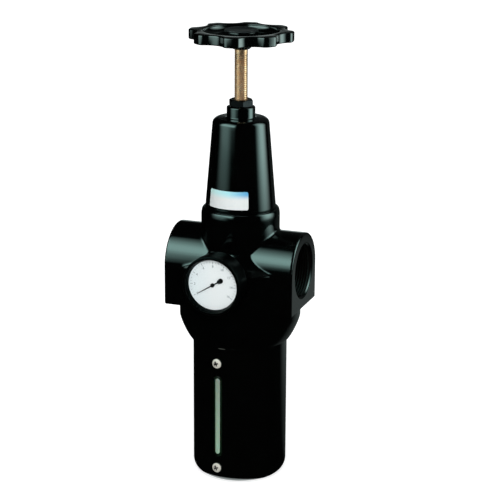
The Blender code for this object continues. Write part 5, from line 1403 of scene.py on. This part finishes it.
profile = arc(CASE_RADIUS - CASE_ROUNDING, CASE_BACK + CASE_ROUNDING, CASE_ROUNDING, -90, 0, 5)
profile += [(CASE_RADIUS, CASE_FRONT), (CASE_RADIUS - CASE_SKIN, CASE_FRONT),
            (CASE_RADIUS - CASE_SKIN, DIAL_FACE - DIAL_BED), (CASE_RADIUS - CASE_WALL, DIAL_FACE - DIAL_BED),
            (CASE_RADIUS - CASE_WALL, CASE_BACK + CASE_WALL)]

# The spacer is a dark ring that holds the dial down and the pane off it; its slope frames the dial, and also
# stands in for the bezel's shade on the dial's margin as a painted shade.
spacer_outer = CASE_RADIUS - CASE_SKIN / 2
spacer = spun("spacer", [
    (DIAL_RADIUS, DIAL_FACE + SPACER_GAP), (spacer_outer, DIAL_FACE + SPACER_GAP),
    (spacer_outer, PANE_BACK - PANE_GAP), (WINDOW_RADIUS, PANE_BACK - PANE_GAP)], 96, closed=True)
case = cut(spun("gauge_case_pressing", profile, 96), [spacer], "UNION")
case = finished("gauge_case_pressing", case, lacquer, GAUGE_PLACE)
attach(case, "body")
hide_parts("gauge_case")

bezel_back = GAUGE_FRONT - BEZEL_LENGTH
profile = [(PANE_RADIUS + PANE_GAP, bezel_back), (GAUGE_RADIUS - BEZEL_HEM, bezel_back)]
profile += [(GAUGE_RADIUS, bezel_back + BEZEL_HEM)]
profile += arc(GAUGE_RADIUS - BEZEL_ROUNDING, GAUGE_FRONT - BEZEL_ROUNDING, BEZEL_ROUNDING, 0, 90, 8)
profile += arc(WINDOW_RADIUS + BEZEL_LIP, GAUGE_FRONT - BEZEL_LIP, BEZEL_LIP, 90, 180, 4)
profile += [(WINDOW_RADIUS, PANE_FRONT + PANE_GAP), (PANE_RADIUS + PANE_GAP, PANE_FRONT + PANE_GAP)]
bezel = spun("gauge_bezel_pressing", profile, 128, closed=True)
bezel = finished("gauge_bezel_pressing", bezel, lacquer, GAUGE_PLACE)
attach(bezel, "body")
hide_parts("gauge_bezel")

# Instrument pane: clear flat acrylic, which the eye sees only by a weak, slightly smeared reflection.
pane_glass, tree = empty_material("clear_instrument_pane")
where = add_node(tree, "ShaderNodeTexCoord").outputs["Object"]
smear = add_node(tree, "ShaderNodeTexNoise", links={"Vector": where, "Scale": 1 / (11.1 * MM), "Detail": 3.0})
gloss = add_node(tree, "ShaderNodeMapRange", links={
    "Value": smear.outputs["Fac"], "To Min": 0.02, "To Max": 0.07})
shine = add_node(tree, "ShaderNodeBsdfGlossy", links={"Roughness": gloss.outputs["Result"]})
through = add_node(tree, "ShaderNodeBsdfTransparent", links={"Color": linear("#FEFFFF")})
glance = add_node(tree, "ShaderNodeFresnel", links={"IOR": 1.45})
side = add_node(tree, "ShaderNodeNewGeometry")
front = add_node(tree, "ShaderNodeMath", {"operation": "SUBTRACT"}, {0: 1.0, 1: side.outputs["Backfacing"]})
glance = add_node(tree, "ShaderNodeMath", {"operation": "MULTIPLY"}, {
    0: glance.outputs["Fac"], 1: front.outputs[0]})
both = add_node(tree, "ShaderNodeMixShader", links={
    0: glance.outputs[0], 1: through.outputs[0], 2: shine.outputs[0]})
add_node(tree, "ShaderNodeOutputMaterial", links={"Surface": both.outputs[0]})
profile = [(0.0, PANE_BACK), (PANE_RADIUS - PANE_EDGE, PANE_BACK), (PANE_RADIUS, PANE_BACK + PANE_EDGE),
           (PANE_RADIUS, PANE_FRONT - PANE_EDGE), (PANE_RADIUS - PANE_EDGE, PANE_FRONT), (0.0, PANE_FRONT)]
pane = finished("gauge_pane", spun("gauge_pane", profile, 96), pane_glass, GAUGE_PLACE)
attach(pane, "body")
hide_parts("gauge_lens")

# Dial: white-lacquered aluminium with a printed scale, laid in the case. Geometry Nodes set the marks along
# the pointer's sweep, every fourth one long, and plain numbers stand inside them.
PLATE_HOLE = 0.0012
PLATE_RIM = 0.0237
PLATE_THICKNESS = 0.0004
SWEEP_START = math.radians(212)
SWEEP = math.radians(-244)
MARKS = 33
LONG_EVERY = 4
MARK_OUTER = 0.0207
SHORT_MARK = (0.0011, 0.00018)
LONG_MARK = (0.0022, 0.00034)
NUMBERS = ("0", "2", "4", "6", "8", "10", "12", "14", "16")
NUMBER_SIZE = 0.0030
NUMBER_CIRCLE = 0.0166
PRINT_THICKNESS = 0.00008

# White lacquer with a fine spray mist in its shine. Its left is painted a little cooler and darker as the
# bezel's shade, warming towards the right.
dial_white, tree, shader, where = surface_material("white_lacquered_dial")
mist = add_node(tree, "ShaderNodeTexNoise", links={"Vector": where, "Scale": 1 / (2.0 * MM), "Detail": 2.0})
spot = add_node(tree, "ShaderNodeSeparateXYZ", links={"Vector": where})
# Painted shade: cooler, darker colour towards the dial's left.
across = add_node(tree, "ShaderNodeMapRange", links={
    "Value": spot.outputs["X"], "From Min": -0.022, "From Max": 0.0})
tint = add_node(tree, "ShaderNodeMix", {"data_type": "RGBA"}, {
    "Factor": across.outputs["Result"], "A": linear("#EEF7F9"), "B": linear("#F6F8F8")})
bump = add_node(tree, "ShaderNodeBump", links={
    "Strength": 0.5, "Distance": 0.002 * MM, "Height": mist.outputs["Fac"]})
join(tree, shader, {
    "Base Color": tint.outputs["Result"], "Normal": bump.outputs["Normal"], "Roughness": 0.45})

# Screen print: mid grey ink, uneven in density at about a millimetre.
dial_print, tree, shader, where = surface_material("grey_screen_print")
dense = add_node(tree, "ShaderNodeTexNoise", links={"Vector": where, "Scale": 1 / (1.11 * MM)})
tint = add_node(tree, "ShaderNodeMix", {"data_type": "RGBA"}, {
    "Factor": dense.outputs["Fac"], "A": linear("#667175"), "B": linear("#8C969A")})
join(tree, shader, {"Base Color": tint.outputs["Result"], "Roughness": 0.6})

profile = [(PLATE_HOLE, DIAL_FACE - PLATE_THICKNESS), (PLATE_RIM, DIAL_FACE - PLATE_THICKNESS),
           (PLATE_RIM, DIAL_FACE), (PLATE_HOLE, DIAL_FACE)]
dial = spun("gauge_dial_plate", profile, 96, closed=True)
dial = finished("gauge_dial_plate", dial, dial_white, GAUGE_PLACE)
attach(dial, "body")
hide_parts("gauge_dial")

tree, given, result = node_tree("scale_marks", {
    "Count": int, "Start": float, "Sweep": float, "Outer": float, "Finish": bpy.types.Material})
index = add_node(tree, "GeometryNodeInputIndex")
last = add_node(tree, "ShaderNodeMath", {"operation": "SUBTRACT"}, {0: given["Count"], 1: 1.0})
share = add_node(tree, "ShaderNodeMath", {"operation": "DIVIDE"}, {0: index.outputs[0], 1: last.outputs[0]})
angle = add_node(tree, "ShaderNodeMath", {"operation": "MULTIPLY_ADD"}, {
    0: share.outputs[0], 1: given["Sweep"], 2: given["Start"]})
rest = add_node(tree, "ShaderNodeMath", {"operation": "MODULO"}, {0: index.outputs[0], 1: float(LONG_EVERY)})
is_long = add_node(tree, "ShaderNodeMath", {"operation": "LESS_THAN"}, {0: rest.outputs[0], 1: 0.5})
length, width = (
    add_node(tree, "ShaderNodeMapRange", links={"Value": is_long.outputs[0], "To Min": short, "To Max": long})
    for short, long in zip(SHORT_MARK, LONG_MARK))
half = add_node(tree, "ShaderNodeMath", {"operation": "MULTIPLY"}, {0: length.outputs["Result"], 1: -0.5})
middle = add_node(tree, "ShaderNodeMath", {"operation": "ADD"}, {0: given["Outer"], 1: half.outputs[0]})
cosine = add_node(tree, "ShaderNodeMath", {"operation": "COSINE"}, {0: angle.outputs[0]})
sine = add_node(tree, "ShaderNodeMath", {"operation": "SINE"}, {0: angle.outputs[0]})
x = add_node(tree, "ShaderNodeMath", {"operation": "MULTIPLY"}, {0: cosine.outputs[0], 1: middle.outputs[0]})
y = add_node(tree, "ShaderNodeMath", {"operation": "MULTIPLY"}, {0: sine.outputs[0], 1: middle.outputs[0]})
spot = add_node(tree, "ShaderNodeCombineXYZ", links={"X": x.outputs[0], "Y": y.outputs[0]})
points = add_node(tree, "GeometryNodeMeshLine", links={"Count": given["Count"]})
placed = add_node(tree, "GeometryNodeSetPosition", links={
    "Geometry": points.outputs["Mesh"], "Position": spot.outputs["Vector"]})
mark = add_node(tree, "GeometryNodeMeshCube", links={"Size": (1.0, 1.0, PRINT_THICKNESS)})
size = add_node(tree, "ShaderNodeCombineXYZ", links={
    "X": length.outputs["Result"], "Y": width.outputs["Result"], "Z": 1.0})
turn = add_node(tree, "ShaderNodeCombineXYZ", links={"Z": angle.outputs[0]})
marks = add_node(tree, "GeometryNodeInstanceOnPoints", links={
    "Points": placed.outputs["Geometry"], "Instance": mark.outputs["Mesh"],
    "Rotation": turn.outputs["Vector"], "Scale": size.outputs["Vector"]})
end_tree(tree, marks.outputs["Instances"], given["Finish"], result)
printing = bmesh.new()
printing.from_mesh(grown("scale_marks", tree, {
    "Count": MARKS, "Start": SWEEP_START, "Sweep": SWEEP, "Outer": MARK_OUTER, "Finish": dial_print}))

for step, number in enumerate(NUMBERS):
    text = bpy.data.curves.new("number", "FONT")
    text.body = number
    text.size = NUMBER_SIZE
    text.align_x = "CENTER"
    text.align_y = "CENTER"
    text.extrude = PRINT_THICKNESS / 2
    mesh = evaluated(bpy.data.objects.new("number", text))
    a = SWEEP_START + SWEEP * step / (len(NUMBERS) - 1)
    mesh.transform(Matrix.Translation((NUMBER_CIRCLE * math.cos(a), NUMBER_CIRCLE * math.sin(a), 0)))
    printing.from_mesh(mesh)
place = GAUGE_PLACE @ Matrix.Translation((0, 0, DIAL_FACE + PRINT_THICKNESS / 2))
printing = finished("dial_printing", mesh_from("dial_printing", printing), dial_print, place, 30)
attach(printing, "body")

# Pointer: a thin steel blade with a paddle tail, stamped, lacquered matt black and pressed on a staff that
# comes through the dial.
POINTER_LENGTH = 0.0165
POINTER_TIP = 0.0008
TIP_HALF_WIDTH = 0.00022
BLADE_HALF_WIDTH = 0.0005
BLADE_WAIST = 0.002
TAIL_NECK = -0.0050
PADDLE_FOOT = -0.0062
PADDLE_HALF_WIDTH = 0.0016
PADDLE_CENTRE = -0.0088
PADDLE_RADIUS = 0.0022
BLADE_BACK = DIAL_FACE + 0.0007
BLADE_THICKNESS = 0.0004
STAFF_RADIUS = 0.0009
STAFF_START = DIAL_FACE - 0.0022
BOSS_START = DIAL_FACE + 0.0003
BOSS_END = DIAL_FACE + 0.0014
POINTER_BOSS_RADIUS = 0.0018
POINTER_BOSS_EDGE = 0.0003
upper_edge = [(POINTER_LENGTH - POINTER_TIP, TIP_HALF_WIDTH), (BLADE_WAIST, BLADE_HALF_WIDTH),
              (TAIL_NECK, BLADE_HALF_WIDTH), (PADDLE_FOOT, PADDLE_HALF_WIDTH)]
outline = [(POINTER_LENGTH, 0.0)] + upper_edge
outline += arc(PADDLE_CENTRE, 0, PADDLE_RADIUS, 90, 270, 12)
outline += [(x, -y) for x, y in reversed(upper_edge)]
blade = prism("gauge_pointer_blade", outline, BLADE_BACK, BLADE_BACK + BLADE_THICKNESS)
profile = [(0.0, STAFF_START), (STAFF_RADIUS, STAFF_START), (STAFF_RADIUS, BOSS_START)]
profile += [(POINTER_BOSS_RADIUS, BOSS_START)]
profile += arc(POINTER_BOSS_RADIUS - POINTER_BOSS_EDGE, BOSS_END - POINTER_BOSS_EDGE, POINTER_BOSS_EDGE,
               0, 90, 4)
profile += [(0.0, BOSS_END)]
boss = spun("boss", profile, 32)
place = GAUGE_PLACE @ Matrix.Rotation(SWEEP_START, 4, "Z")
pointer_black = moulded("matt_black_pointer_lacquer", "#060606", "#0C0C0C", 0.45, 0.3, 0.002)
pointer = finished("gauge_pointer_blade", cut(blade, [boss], "UNION"), pointer_black, place, 30)
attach(pointer, "pointer")
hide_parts("gauge_pointer")

# Gauge socket: a turned brass stem with a hexagon for the spanner, which carries the gauge and screws into
# the front pad.
SOCKET_BACK = 0.0463
SOCKET_FRONT = 0.0503
SOCKET_FLATS = 0.014
STEM_RADIUS = 0.006
STEM_LENGTH = 0.010
hexagon = prism("gauge_socket_hex", round_points(SOCKET_FLATS / math.sqrt(3), 6), SOCKET_BACK, SOCKET_FRONT)
stem = spun("stem", [
    (0.0, SOCKET_BACK - STEM_LENGTH), (STEM_RADIUS - 0.0008, SOCKET_BACK - STEM_LENGTH),
    (STEM_RADIUS, SOCKET_BACK - STEM_LENGTH + 0.0008), (STEM_RADIUS, SOCKET_BACK + 0.0005),
    (0.0, SOCKET_BACK + 0.0005)], 48)
socket = finished("gauge_socket_hex", cut(hexagon, [stem], "UNION"), turned_brass, GAUGE_PLACE, 25)
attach(socket, "body")
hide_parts("gauge_socket")

# Rear plug: a zinc-plated steel plug with a collar and a hexagon socket, screwed into the second gauge
# port to close it.
PLUG_RADIUS = 0.006
PLUG_LENGTH = 0.010
PLUG_CHAMFER = 0.0005
COLLAR_RADIUS = 0.0085
COLLAR_BACK = 0.0463
COLLAR_FRONT = 0.0489
COLLAR_CHAMFER = 0.0003
COLLAR_EDGE = 0.0006
KEY_FLATS = 0.006
KEY_DEPTH = 0.005
profile = [(0.0, COLLAR_BACK - PLUG_LENGTH), (PLUG_RADIUS - PLUG_CHAMFER, COLLAR_BACK - PLUG_LENGTH),
           (PLUG_RADIUS, COLLAR_BACK - PLUG_LENGTH + PLUG_CHAMFER), (PLUG_RADIUS, COLLAR_BACK)]
profile += [(COLLAR_RADIUS - COLLAR_CHAMFER, COLLAR_BACK), (COLLAR_RADIUS, COLLAR_BACK + COLLAR_CHAMFER)]
profile += arc(COLLAR_RADIUS - COLLAR_EDGE, COLLAR_FRONT - COLLAR_EDGE, COLLAR_EDGE, 0, 90, 5)
profile += [(0.0, COLLAR_FRONT)]
plug = spun("rear_plug_socket", profile, 72)
key = round_points(KEY_FLATS / math.sqrt(3), 6)
key = prism("socket", key, COLLAR_FRONT - KEY_DEPTH, COLLAR_FRONT + 0.001)
place = Matrix.Translation((0, AXIS_Y, PORT_HEIGHT)) @ Matrix.Rotation(-math.pi / 2, 4, "X")
plug = finished("rear_plug_socket", cut(plug, [key]), bright_zinc, place, 30)
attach(plug, "body")
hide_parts("rear_plug")

# Colours show as they are written.
bpy.context.scene.view_settings.view_transform = "Standard"
